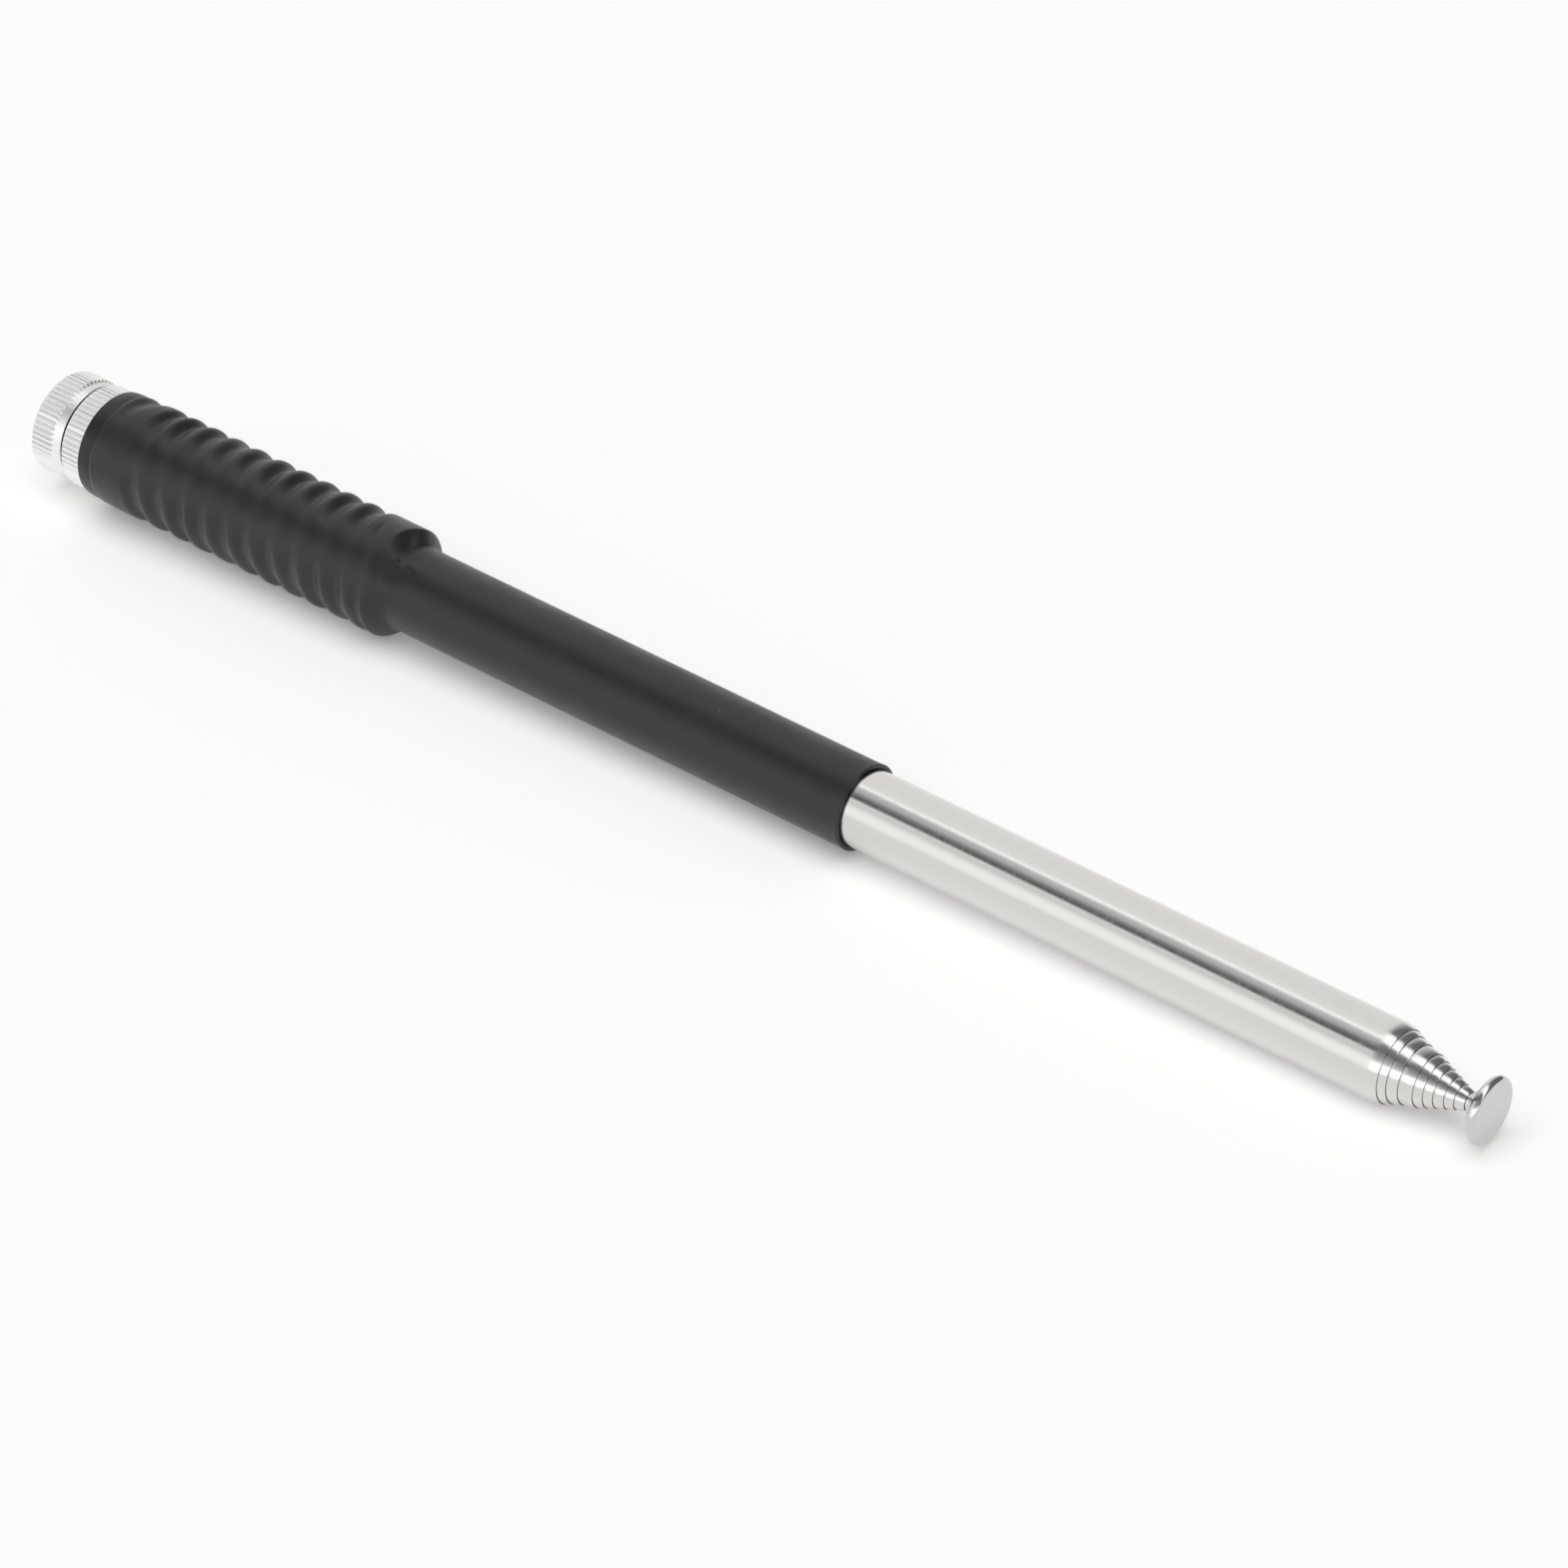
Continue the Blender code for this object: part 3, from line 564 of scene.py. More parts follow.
class ANTENNA_OT_contact(bpy.types.Operator):
    """Add the gold centre pin and the white bush that holds it"""

    bl_idname = "antenna.contact"
    bl_label = "Contact"

    COLUMNS = 64
    BARREL_R = 0.46 * MM
    RING_R = 0.625 * MM
    TIP_R = 0.25 * MM
    CUP_R = 0.8 * MM
    CUP_WALL = 0.25 * MM
    CUP_GAP = 0.3 * MM
    RING_STATION = 1.75 * MM
    RELIEF = 0.08 * MM
    BUSH_R = 2.05 * MM
    BUSH_CHAMFER = 0.15 * MM
    FIT = 0.02 * MM

    def execute(self, context):
        finishes = context.scene.antenna_finishes
        start, end, _ = reach("centre_pin")
        bush_start, bush_end, _ = reach("insulator")
        ring = start + self.RING_STATION
        cup = bush_end + self.CUP_GAP
        relieved_r = self.BARREL_R - self.RELIEF
        pin = rounded(
            [
                (start, 0),
                (start, self.TIP_R * 0.7),
                (start + 0.18 * MM, self.TIP_R),
                (start + 0.62 * MM, self.TIP_R),
                (start + 0.95 * MM, self.BARREL_R),
                (start + 1.25 * MM, self.BARREL_R),
                (start + 1.3 * MM, relieved_r),
                (ring - 0.15 * MM, relieved_r),
                (ring - 0.05 * MM, self.RING_R),
                (ring + 0.3 * MM, self.RING_R),
                (ring + 0.4 * MM, self.BARREL_R),
                (cup, self.BARREL_R),
                (cup, self.CUP_R),
                (end, self.CUP_R),
                (end, self.CUP_R - self.CUP_WALL),
                (cup + self.CUP_WALL, self.CUP_R - self.CUP_WALL),
                (cup + self.CUP_WALL, 0),
            ],
            0.08 * MM, closed=False)
        add_round_piece(
            "centre_contact", turned_rows(pin, self.COLUMNS), False, gold_plate(finishes.gold),
            "base", "centre_pin", "gold_plate")
        hole = self.BARREL_R + self.FIT
        bush = rounded(
            [
                (bush_start, hole),
                (bush_start, self.BUSH_R - self.BUSH_CHAMFER),
                (bush_start + self.BUSH_CHAMFER, self.BUSH_R),
                (bush_end, self.BUSH_R),
                (bush_end, hole),
            ],
            0.06 * MM)
        add_round_piece(
            "contact_bush", turned_rows(bush, self.COLUMNS), True,
            fluoroplastic(finishes.insulator), "base", "insulator", "insulator_plastic")
        return {"FINISHED"}


class ANTENNA_OT_sleeve(bpy.types.Operator):
    """Add the heat-shrink sleeve, drawn down over the knurl, the coil, the shoulder and the mast"""

    bl_idname = "antenna.sleeve"
    bl_label = "Sleeve"

    COLUMNS = 176
    KNURL_END = 10.2 * MM
    KNURL_SKIN_R = 6.72 * MM
    BAND_DROP = 0.2 * MM
    BAND_BULGE = 0.07 * MM
    BAND_LENGTH = 2.2 * MM
    BAND_EDGE = (0.86, 1.02)
    EDGE_ROUND = 0.08 * MM
    KNURL_FADE = 3 * MM
    COIL_START = 12.35 * MM
    WIRE_START = 12.0 * MM
    WIRE_END = 52.66 * MM
    WIRE_HALF = 0.76 * MM
    LEAST_WALL = 0.06 * MM
    COLLAR_END = 54.35 * MM
    COIL_START_ANGLE = math.radians(315)
    COIL_STOP = 52.4 * MM
    STOP_FADE = 1.5 * MM
    VALLEY_POWER = 1.1
    GROWN_IN = 0.2
    SHOULDER_START = 52.0 * MM
    SHOULDER_END = 54.8 * MM
    TOP = math.radians(47)
    COIL_WALL = 0.26 * MM
    MAST_WALL = 0.47 * MM
    FIT = 0.04 * MM
    CUT_LIP = 0.06 * MM
    CUT_LENGTH = 0.7 * MM
    COIL_STEP = 0.16 * MM
    MAST_STEP = 1.4 * MM
    INNER_SKIP = 4
    # Station, bearing, length, width and radius of the hills on top: the first turn is pulled
    # towards the connector, the ridges stop a turn early, and a valley lies before the first turn
    PULLED = (14.6 * MM, TOP, 3 * MM, 7 * MM, CREST_R)
    PULL = 0.8 * MM
    EARLY = (COIL_STOP, TOP, 6 * MM, 7 * MM, CREST_R)
    GAP = (11.0 * MM, TOP, 0.8 * MM, 6 * MM, CREST_R)
    GAP_DEPTH = 0.85
    # The ridges are pressed flat along one side, as the sleeve was when it was still hot
    PRESSED_BEARING = math.radians(136)
    PRESSED_HALF = 0.72
    PRESSED_SHARE = 0.68
    # Seed, count, longest and shortest length of the waves that shift the ridges, change their
    # depth, make the first band's edge ragged and ripple the skin, and how far each goes
    SHIFT_WAVES = (3, 9, 30 * MM, 9 * MM)
    SHIFT = 0.03
    DEPTH_WAVES = (11, 8, 24 * MM, 7 * MM)
    DEPTH_MEAN = 0.94
    DEPTH_SWING = 0.13
    DEPTH_LIMITS = (0.55, 1.12)
    BAND_WAVES = (5, 6, 1, 0.5)
    BAND_RAGGED = 0.04
    RIPPLE_WAVES = (21, 12, 16 * MM, 3 * MM)
    RIPPLE = 0.01 * MM
    RIPPLE_FADE = 6 * MM
    RIPPLE_LEAST = 0.4
    # Distances of the rows from each end, over its rounded edge
    EDGE_ROWS = np.array((0.0, 0.015, 0.04, 0.08, 0.14, 0.22, 0.34)) * MM
    # Station, bearing in degrees, length, width and height of each lump, in millimetres, where a
    # width is taken at the lumps' radius
    LUMP_R = 6 * MM
    LUMPS = (
        (53.5, 86, 0.75, 1.6, -0.66),
        (54.2, 118, 0.36, 0.4, 0.26),
        (56.2, 114, 0.62, 0.7, 0.26),
        (54.5, 150, 1.0, 2.2, 0.36),
        (51.6, 60, 2.6, 3.5, 0.3),
        (11.2, 203, 0.3, 1.3, 0.12),
        (12.0, 208, 0.35, 1.6, 0.12),
        (12.9, 212, 0.35, 1.6, 0.1),
        (28.8, 131, 0.5, 0.55, 0.1),
        (26.0, 132, 0.35, 0.3, -0.05),
        (51.0, 128, 0.9, 0.8, 0.05),
    )

    def ridge(self, along, angle, sizes):
        """How far the skin dips between the wire's turns, as a share of the ridge depth.

        With t as the distance past the first turn in turns, the dip is 0.5 - 0.5 cos(2 pi t), to
        the valley's power. The valley after the first turn grows in over its first fifth, and a
        round valley, exp(-d^2), lies between the knurl and the coil on the upper side.
        """
        turned = (angle - self.COIL_START_ANGLE) / TURN % 1
        t = (along - self.COIL_START) / sizes.coil_pitch - turned
        dip = (0.5 - 0.5 * np.cos(TURN * np.maximum(t, 0))) ** self.VALLEY_POWER
        dip = dip * np.where(t < 1, smooth_step(turned, 0, self.GROWN_IN), 1)
        stop = self.COIL_STOP - sizes.coil_pitch * hill(along, angle, *self.EARLY)
        gap = self.GAP_DEPTH * hill(along, angle, *self.GAP)
        return dip * (1 - smooth_step(along, stop - self.STOP_FADE, stop)) + gap

    def over_wire(self, along, angle, pitch):
        """The least radius that clears the coil's wire: its middle's radius plus sqrt(w^2 - d^2).

        d is the distance along the axis to the nearest turn and w is half the wire's thickness.
        """
        turned = (angle - self.COIL_START_ANGLE) / TURN % 1
        t = (along - self.WIRE_START) / pitch - turned
        last_turn = np.floor((self.WIRE_END - self.WIRE_START) / pitch - turned)
        off = np.abs(t - np.clip(np.round(t), 0, last_turn)) * pitch
        middle_r = reach("loading_coil")[2] / FLAT - self.WIRE_HALF + self.LEAST_WALL
        over = middle_r + np.sqrt(np.maximum(self.WIRE_HALF**2 - off**2, 0))
        return np.where(off < self.WIRE_HALF, over, 0)

    def shoulder(self, along, angle):
        """Share of the drop to the mast: a smooth step of the length s, or of s^1.9 on top."""
        s = np.clip((along - self.SHOULDER_START) / (self.SHOULDER_END - self.SHOULDER_START), 0, 1)
        crisp = np.exp(-(((angle - self.TOP + math.pi) % TURN - math.pi) ** 2))
        s = crisp * s**1.9 + (1 - crisp) * s
        return s * s * (3 - 2 * s)

    def skin(self, along, angle, sizes):
        """The outer radius at a station and angle.

        It is the crest's radius, less the ridges, the shoulder's drop and the thin first band on
        the knurl, plus lumps. Seeded waves shift and scale the ridges, as a shrunk skin is uneven.
        """
        mast_r = MAST_R + self.MAST_WALL + self.FIT
        shift = self.SHIFT * sizes.coil_pitch * waves(along, angle, *self.SHIFT_WAVES)
        pulled = hill(along, angle, *self.PULLED)
        swing = self.DEPTH_SWING * waves(along, angle, *self.DEPTH_WAVES)
        uneven = np.clip(self.DEPTH_MEAN + swing, *self.DEPTH_LIMITS)
        pressed = np.exp(-(((angle - self.PRESSED_BEARING) / self.PRESSED_HALF) ** 2))
        flatter = 1 - self.PRESSED_SHARE * pressed
        place = along + shift - self.PULL * pulled
        dips = sizes.ridge_depth * self.ridge(place, angle, sizes) * uneven * flatter
        radius = CREST_R - dips - (CREST_R - mast_r) * self.shoulder(along, angle)
        on_knurl = 1 - smooth_step(along, self.KNURL_END, self.KNURL_END + self.KNURL_FADE)
        ragged = self.BAND_RAGGED * waves(0, angle, *self.BAND_WAVES)
        share = (along - SLEEVE_START) / self.BAND_LENGTH - ragged
        thin = 1 - smooth_step(share, *self.BAND_EDGE)
        band = self.BAND_DROP - self.BAND_BULGE * np.sin(math.pi * np.clip(share, 0, 1))
        radius = radius - (CREST_R - self.KNURL_SKIN_R) * on_knurl - band * thin
        lumps = sum(
            height * hill(
                along, angle, station * MM, math.radians(bearing), length * MM, width * MM,
                self.LUMP_R)
            for station, bearing, length, width, height in self.LUMPS)
        over_coil = 1 - smooth_step(along, self.SHOULDER_END, self.SHOULDER_END + self.RIPPLE_FADE)
        ripple = self.RIPPLE * waves(along, angle, *self.RIPPLE_WAVES)
        ripple = ripple * (self.RIPPLE_LEAST + over_coil)
        cut = np.exp((along - SLEEVE_END) / self.CUT_LENGTH) * self.CUT_LIP
        over_collar = reach("mast_ferrule")[2] / FLAT + self.LEAST_WALL
        collar_r = np.where(along < self.COLLAR_END, over_collar, 0)
        least = np.maximum(self.over_wire(along, angle, sizes.coil_pitch), collar_r)
        return np.clip(radius + lumps * MM + ripple + cut, least, CREST_R)

    def execute(self, context):
        sizes = context.scene.antenna_sizes
        coil = np.arange(SLEEVE_START, self.SHOULDER_END + 2 * MM, self.COIL_STEP)
        mast = np.arange(coil[-1] + self.COIL_STEP, SLEEVE_END - self.MAST_STEP, self.MAST_STEP)
        lip = SLEEVE_END - np.append(self.EDGE_ROWS, (0.6 * MM, 1.0 * MM))[::-1]
        stations = np.concatenate((SLEEVE_START + self.EDGE_ROWS, coil[3:], mast, lip))[:, None]
        outer = self.skin(stations, angles(self.COLUMNS)[None], sizes)
        inset = np.minimum(stations - SLEEVE_START, SLEEVE_END - stations)
        round_off = 1 - np.clip(inset / self.EDGE_ROUND, 0, 1)
        thicker = smooth_step(stations, self.SHOULDER_START, self.SHOULDER_END)
        wall = self.COIL_WALL + (self.MAST_WALL - self.COIL_WALL) * thicker
        knurl_r = sizes.knurl_radius + self.FIT / 2
        least = np.where(stations < self.KNURL_END, knurl_r, MAST_R + self.FIT)
        inner = np.maximum(outer - wall, least)
        outer = outer - self.EDGE_ROUND * (1 - np.sqrt(1 - round_off**2))
        back = np.append(np.arange(len(stations) - 1, 0, -self.INNER_SKIP), 0)
        along = np.concatenate((stations, stations[back]))
        away = np.concatenate((outer, inner[back]))
        rows = np.broadcast_to(along, away.shape), away
        material = heat_shrink(context.scene.antenna_finishes.sleeve)
        add_round_piece(
            "shrunk_sleeve", rows, True, material, "base", "heat_shrink_sleeve", "heat_shrink",
            sharp=50)
        return {"FINISHED"}


def section_radius(section):
    """Outer radius of a mast section, in even steps between the outer tube and the rod."""
    return MAST_R + (ROD_R - MAST_R) * (section - 1) / (SECTIONS - 1)


class ANTENNA_OT_mast(bpy.types.Operator):
    """Add the nine mast tubes, each with its flared foot and rolled-in mouth"""

    bl_idname = "antenna.mast"
    bl_label = "Mast tubes"

    COLUMNS = 128
    LIP = 0.85 * MM
    LIP_EDGE = 0.12 * MM
    RIM = 0.05 * MM
    OUTER_ROLL = 1.3 * MM
    FIT = 0.07 * MM
    ROLL_STEPS = 11
    PLAIN_END = 2 * MM
    PLAIN_ROWS = 24

    def profile(self, section, foot, mouth, roll_length, wall):
        """A tube's section: up its outside, over the swaged and rolled mouth, and back inside.

        The swaged end drops over its length s as three parts of s^1.5 to one of 1 - sqrt(1 - s^2),
        and the roll inside it is a quarter ellipse.
        """
        radius = section_radius(section)
        lip_r = section_radius(section + 1) + self.FIT
        quarter = np.linspace(0, math.pi / 2, self.ROLL_STEPS)
        share = np.sin(quarter)
        drop = 0.75 * share**1.5 + 0.25 * (1 - np.sqrt(1 - share**2))
        roll = np.stack(
            (mouth - roll_length * (1 - share),
             radius - (radius - lip_r - self.RIM) * drop), axis=1)
        inner_roll = np.stack(
            (mouth - self.LIP + (self.LIP - self.LIP_EDGE) * np.sin(quarter[::-1]),
             lip_r + (radius - wall - lip_r) * np.cos(quarter[::-1])), axis=1)
        start = [(foot, radius - wall), (foot, radius)]
        if section > 1:
            start = [(foot, radius - wall), (foot, radius + FLARE), (foot + FLARE_LENGTH, radius)]
        stations = np.linspace(foot + self.PLAIN_END, mouth - self.PLAIN_END, self.PLAIN_ROWS)
        outside = np.stack((stations, np.full(self.PLAIN_ROWS, radius)), axis=1)
        back = stations[::-4]
        inside = np.stack((back, np.full(len(back), radius - wall)), axis=1)
        return np.concatenate((start, outside, roll, [(mouth, lip_r)], inner_roll, inside))

    def execute(self, context):
        wall = context.scene.antenna_sizes.tube_wall
        material = nickel_tube(context.scene.antenna_finishes.nickel)
        roll_start = MAST_MOUTH - self.OUTER_ROLL
        for section in range(1, SECTIONS):
            node = f"mast_tube_{section}"
            foot, mouth, _ = reach(node)
            body = "base" if section == 1 else f"draw_{section}"
            profile = self.profile(section, foot, mouth, mouth - roll_start, wall)
            roll_start = mouth
            rows = turned_rows(profile, self.COLUMNS)
            add_round_piece(
                f"mast_section_{section}", rows, True, material, body, node, "nickel_plate")
        return {"FINISHED"}


class ANTENNA_OT_tip(bpy.types.Operator):
    """Add the innermost rod and the turned cap on its end"""

    bl_idname = "antenna.tip"
    bl_label = "Tip"

    COLUMNS = 128
    NECK_R = 1.35 * MM
    RIM = 1.2 * MM
    CROWN = 0.06 * MM
    SOCKET = 1.5 * MM
    FIT = 0.02 * MM
    CHAMFER = 0.1 * MM

    def cap(self):
        """The cap's section: socket, hollow-curved neck, half-round rim and domed face.

        The neck's radius grows as 1 - cos over a quarter turn, the rim is a half circle, and the
        face rises by the crown towards the middle as a parabola.
        """
        rim_r = CAP_R - self.RIM / 2
        rim_back = CAP_END - self.CROWN - self.RIM
        quarter = np.linspace(0, math.pi / 2, 16)
        half = np.linspace(0.25 * math.pi, math.pi, 22)
        share = np.linspace(1, 0, 12)
        neck = np.stack(
            (CAP_START + (rim_back - CAP_START) * np.sin(quarter),
             self.NECK_R + (rim_r - self.NECK_R) * (1 - np.cos(quarter))), axis=1)
        rim = np.stack(
            (rim_back + self.RIM / 2 * (1 - np.cos(half)),
             rim_r + self.RIM / 2 * np.sin(half)), axis=1)
        face = np.stack((CAP_END - self.CROWN * share[1:] ** 2, rim_r * share[1:]), axis=1)
        socket = np.array((
            (CAP_START + self.SOCKET, 0),
            (CAP_START + self.SOCKET, ROD_R + self.FIT),
            (CAP_START, ROD_R + self.FIT)))
        return np.concatenate((socket, neck, rim, face))

    def execute(self, context):
        finishes = context.scene.antenna_finishes
        foot, end, _ = reach("tip_rod")
        rod = np.array((
            (foot, 0),
            (foot, ROD_R + FLARE),
            (foot + FLARE_LENGTH, ROD_R),
            (end - self.CHAMFER, ROD_R),
            (end, ROD_R - self.CHAMFER),
            (end, 0)))
        add_round_piece(
            "innermost_rod", turned_rows(rod, self.COLUMNS), False, nickel_tube(finishes.nickel),
            "draw_10", "tip_rod", "nickel_plate")
        add_round_piece(
            "mast_cap", turned_rows(self.cap(), self.COLUMNS), False, polished_cap(finishes.cap),
            "draw_10", "tip_cap", "nickel_plate")
        return {"FINISHED"}


class ANTENNA_OT_bushes(bpy.types.Operator):
    """Add the split spring bush on each sliding section's foot"""

    bl_idname = "antenna.bushes"
    bl_label = "Foot bushes"

    COLUMNS = 72
    WALL = 0.1 * MM
    FIT = 0.02 * MM
    EDGE = 0.03 * MM

    def execute(self, context):
        material = inner_finish("rolled_spring_bronze", "#B98A54", 1.0, 0.28, 3.0)
        for section in range(2, SECTIONS + 1):
            node = "tip_bush" if section == SECTIONS else f"foot_bush_{section}"
            start, end, _ = reach(node)
            inner = section_radius(section) + self.FIT
            outer = inner + self.WALL
            corners = [(start, inner), (start, outer), (end, outer), (end, inner)]
            points, faces = self.split_ring(rounded(corners, self.EDGE, steps=3))
            add_piece(
                f"split_{node}", points, faces, material, f"draw_{section}", node, "spring_bronze")
        return {"FINISHED"}

    def split_ring(self, ring):
        """Carries the wall's section round the axis, but for one flat, and closes its ends."""
        slit = TURN / CAD_SIDES
        turns = np.linspace(slit / 2, TURN - slit / 2, self.COLUMNS)
        along, away = turned_rows(ring, self.COLUMNS)
        points = to_world(along, away, np.broadcast_to(turns, along.shape))
        index = np.arange(along.size).reshape(along.shape)
        ahead = np.roll(index, -1, axis=0)
        quads = np.stack((index[:, :-1], index[:, 1:], ahead[:, 1:], ahead[:, :-1]), axis=-1)
        ends = index[:, [0, -1]].T
        return points, quads.reshape(-1, 4).tolist() + ends.tolist()


class ANTENNA_OT_inside(bpy.types.Operator):
    """Give the pieces inside the sleeve their finishes"""

    bl_idname = "antenna.inside"
    bl_label = "Inner pieces"

    def execute(self, context):
        finishes = {
            "coil_former": inner_finish("turned_nylon_rod", "#D9D4C5", 0.0, 0.5, 2.0),
            "loading_coil": inner_finish("enamelled_copper_wire", "#A5572E", 1.0, 0.25, 1.5),
            "solder_joint": inner_finish("cooled_solder", "#B9BABA", 1.0, 0.35, 2.5),
            "mast_ferrule": inner_finish("turned_bare_brass", "#D3AE66", 1.0, 0.25, 3.0),
        }
        for node, material in finishes.items():
            mesh = frame["nodes"][node].data
            mesh.materials.clear()
            mesh.materials.append(material)
        return {"FINISHED"}


class ANTENNA_OT_stage(bpy.types.Operator):
    """Add the floor, the soft light, the surroundings that the metal mirrors, and the camera"""

    bl_idname = "antenna.stage"
    bl_label = "Stage"

    FLOOR_HALF = 3.0
    SUN_SPREAD = math.radians(64)
    # Brightness round the antenna by bearing in degrees, from the horizon behind it over the top
    # to the horizon in front. Towards the connector: a pale wall, a strip light, a dark gap and
    # soft boxes.
    TOWARDS_CONNECTOR = (
        (0, 0.97), (50, 0.98), (80, 1.02), (86, 1.34), (90, 1.26), (94, 0.7), (106, 0.58),
        (114, 0.28), (122, 0.13), (127, 0.16), (131, 1.02), (136, 0.86), (142, 0.86), (147, 1.0),
        (152, 1.14), (160, 1.24), (172, 1.2), (180, 1.05),
    )
    # Towards the tip: a grey room, one round lamp overhead and a window in front
    TOWARDS_TIP = (
        (0, 0.16), (56, 0.2), (64, 0.26), (74, 1.6), (95, 1.6), (103, 0.3), (120, 0.2),
        (138, 0.45), (149, 0.8), (155, 1.7), (174, 1.7), (180, 1.1),
    )
    # How far directions point along +X where the two sets pass into each other, and where the far
    # end of the room dims, with its least brightness
    PASSING = (-0.4, -0.12)
    FAR_END = (-0.98, -0.82)
    FAR_END_LEAST = 0.35

    def add_floor(self, colour, glow):
        """A table that slopes down along the mast past its mouth, so drawn sections lie on it."""
        half = self.FLOOR_HALF
        bend = float((FACE + MAST_MOUTH * AXIS)[0]) - MM
        places = [(-half, 0), (bend, 0), (half, (bend - half) * math.tan(LIE))]
        mesh = bpy.data.meshes.new("floor")
        mesh.from_pydata(
            [(x, y, z) for x, z in places for y in (-half, half)], [], [(0, 2, 3, 1), (2, 4, 5, 3)])
        floor = bpy.data.objects.new("floor", mesh)
        bpy.context.scene.collection.objects.link(floor)
        made, tree, shader = new_material("white_acrylic_table", colour, 0.0, 0.9)
        set_inputs(tree, shader, {
            "Specular IOR Level": 0.0, "Emission Color": (1, 1, 1, 1), "Emission Strength": glow})
        floor.data.materials.append(made)

    def add_sun(self, stage):
        """A broad soft light that leaves no bright spot on the metal."""
        lamp = bpy.data.lights.new("soft_light", "SUN")
        lamp.energy = stage.sun_strength
        lamp.angle = self.SUN_SPREAD
        sun = bpy.data.objects.new("soft_light", lamp)
        bpy.context.scene.collection.objects.link(sun)
        sun.rotation_euler = stage.sun_direction.to_track_quat("Z", "Y").to_euler()
        sun.visible_glossy = False

    def add_surroundings(self, sky_strength):
        """White to the camera, an even sky for soft light, and bands for the metal to mirror.

        The bands follow the bearing, the angle of a direction's height over its way across, so they
        are as straight as long soft boxes laid beside the antenna. The two sets of bands pass into
        each other where directions turn from the connector's end to the tip's.
        """
        world = bpy.data.worlds.new("studio")
        bpy.context.scene.world = world
        world.use_nodes = True
        tree = world.node_tree
        tree.nodes.clear()
        direction = add_node(tree, "TexCoord").outputs["Generated"]
        x, y, z = add_node(tree, "SeparateXYZ", direction).outputs
        turn = add_node(tree, "Math", z, y, operation="ARCTAN2")
        bearing = add_node(tree, "MapRange", turn, 0, math.pi, 0, 1)
        ramps = []
        for bands in (self.TOWARDS_CONNECTOR, self.TOWARDS_TIP):
            ramps.append(add_node(tree, "ValToRGB", bearing))
            points = ramps[-1].color_ramp.elements
            for number, (degrees, bright) in enumerate(bands):
                point = points[number] if number < 2 else points.new(degrees / 180)
                point.position = degrees / 180
                point.color = (bright, bright, bright, 1)
        passing = add_node(tree, "MapRange", x, *self.PASSING, 0, 1)
        mirrored = add_node(tree, "Mix", Factor=passing, A=ramps[0], B=ramps[1], data_type="RGBA")
        far_end = add_node(tree, "MapRange", x, *self.FAR_END, self.FAR_END_LEAST, 1)
        shaded = add_node(tree, "Mix", Factor=far_end, A=(0, 0, 0, 1), B=mirrored, data_type="RGBA")
        path = add_node(tree, "LightPath").outputs
        sky = [sky_strength] * 3 + [1.0]
        even = add_node(
            tree, "Mix", Factor=path["Is Glossy Ray"], A=sky, B=shaded, data_type="RGBA")
        seen = add_node(
            tree, "Mix", Factor=path["Is Camera Ray"], A=even, B=(1, 1, 1, 1),
            data_type="RGBA")
        add_node(tree, "OutputWorld", add_node(tree, "Background", seen))

    def add_camera(self, stage):
        """Finds the camera's directions from its two angles, and its place from the face."""
        azimuth = stage.camera_azimuth
        elevation = stage.camera_elevation
        right = np.array((math.cos(azimuth), math.sin(azimuth), 0))
        back = np.array((
            math.sin(azimuth) * math.cos(elevation),
            -math.cos(azimuth) * math.cos(elevation),
            math.sin(elevation)))
        up = np.cross(back, right)
        place = FACE - FACE_RIGHT * right - FACE_UP * up + FACE_AWAY * back
        lens = bpy.data.cameras.new("camera")
        lens.sensor_width = SENSOR
        lens.lens = LENS_PER_WIDTH * SENSOR
        lens.clip_start = 0.01
        camera = bpy.data.objects.new("camera", lens)
        bpy.context.scene.collection.objects.link(camera)
        camera.location = place
        camera.rotation_euler = (math.pi / 2 - elevation, 0, azimuth)
        bpy.context.scene.camera = camera

    def execute(self, context):
        stage = context.scene.antenna_stage
        self.add_floor(stage.floor_colour, stage.floor_glow)
        self.add_sun(stage)
        self.add_surroundings(stage.sky_strength)
        self.add_camera(stage)
        context.scene.view_settings.view_transform = "Standard"
        return {"FINISHED"}


class ANTENNA_PT_panel(bpy.types.Panel):
    """Sizes, finishes and pieces of the antenna"""

    bl_label = "Telescopic Antenna"
    bl_space_type = "VIEW_3D"
    bl_region_type = "UI"
    bl_category = "Antenna"

    def draw(self, context):
        for group_name in GROUPS:
            group = getattr(context.scene, group_name)
            box = self.layout.box()
            for name in group.__annotations__:
                box.prop(group, name)
        for operator in PIECES:
            self.layout.operator(operator.bl_idname)


PIECES = (
    ANTENNA_OT_stage,
    ANTENNA_OT_connector,
    ANTENNA_OT_contact,
    ANTENNA_OT_sleeve,
    ANTENNA_OT_mast,
    ANTENNA_OT_bushes,
    ANTENNA_OT_tip,
    ANTENNA_OT_inside,
)
GROUPS = {
    "antenna_sizes": AntennaSizes,
    "antenna_finishes": AntennaFinishes,
    "antenna_stage": AntennaStage,
}


def register():
    """Registers the classes and gives the scene its groups of properties."""
    for made in (*GROUPS.values(), *PIECES, ANTENNA_PT_panel):
        bpy.utils.register_class(made)
    for name, group in GROUPS.items():
        setattr(bpy.types.Scene, name, PointerProperty(type=group))


def unregister():
    """Takes the groups of properties and the classes away again."""
    for name in GROUPS:
        delattr(bpy.types.Scene, name)
    for made in (ANTENNA_PT_panel, *reversed(PIECES), *reversed(GROUPS.values())):
        bpy.utils.unregister_class(made)


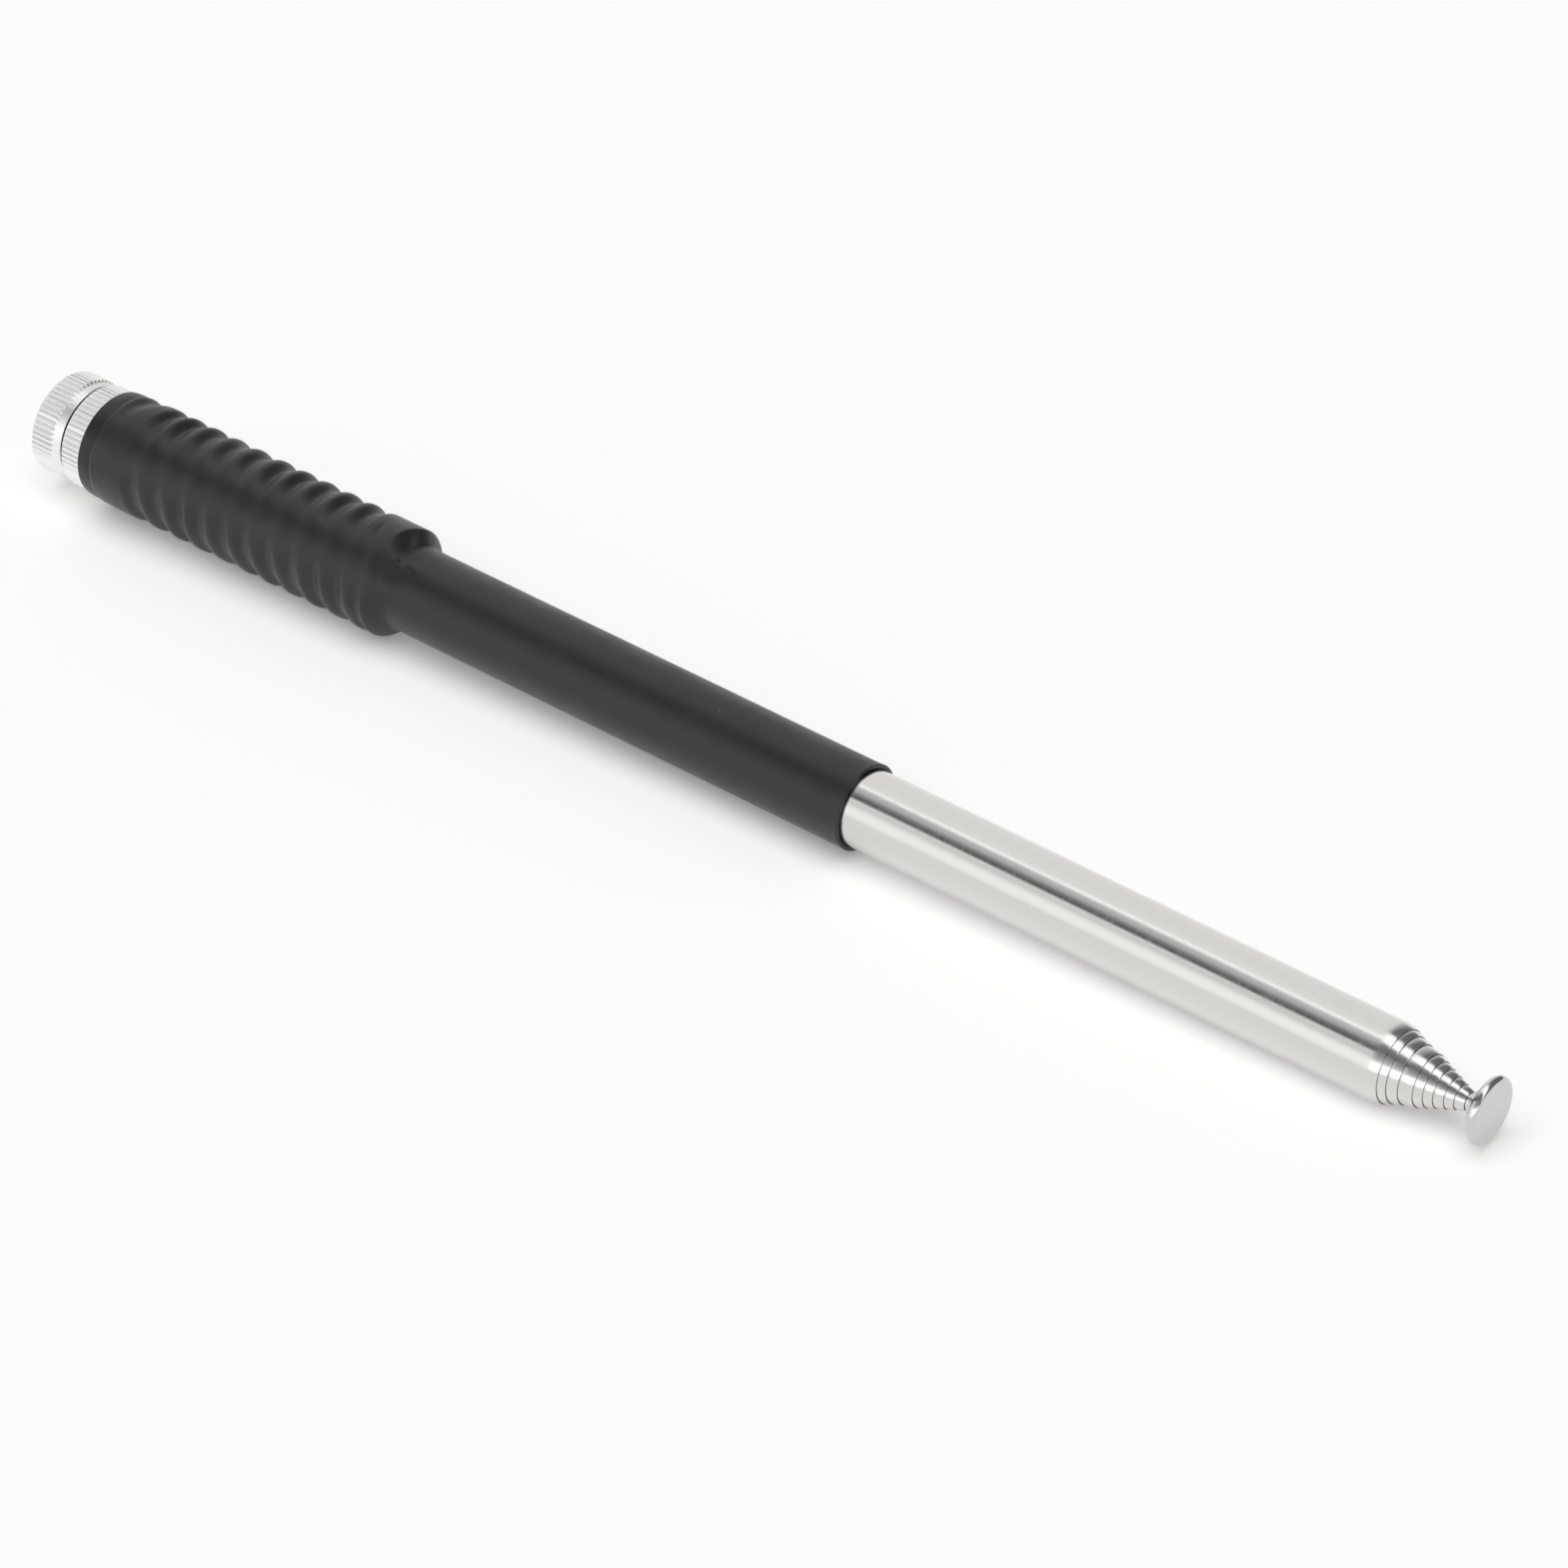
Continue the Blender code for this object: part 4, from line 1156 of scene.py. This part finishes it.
def main():
    """Makes the stage and every piece."""
    register()
    bpy.ops.antenna.stage()
    bpy.ops.antenna.connector()
    bpy.ops.antenna.contact()
    bpy.ops.antenna.sleeve()
    bpy.ops.antenna.mast()
    bpy.ops.antenna.bushes()
    bpy.ops.antenna.tip()
    bpy.ops.antenna.inside()


if __name__ == "__main__":
    main()
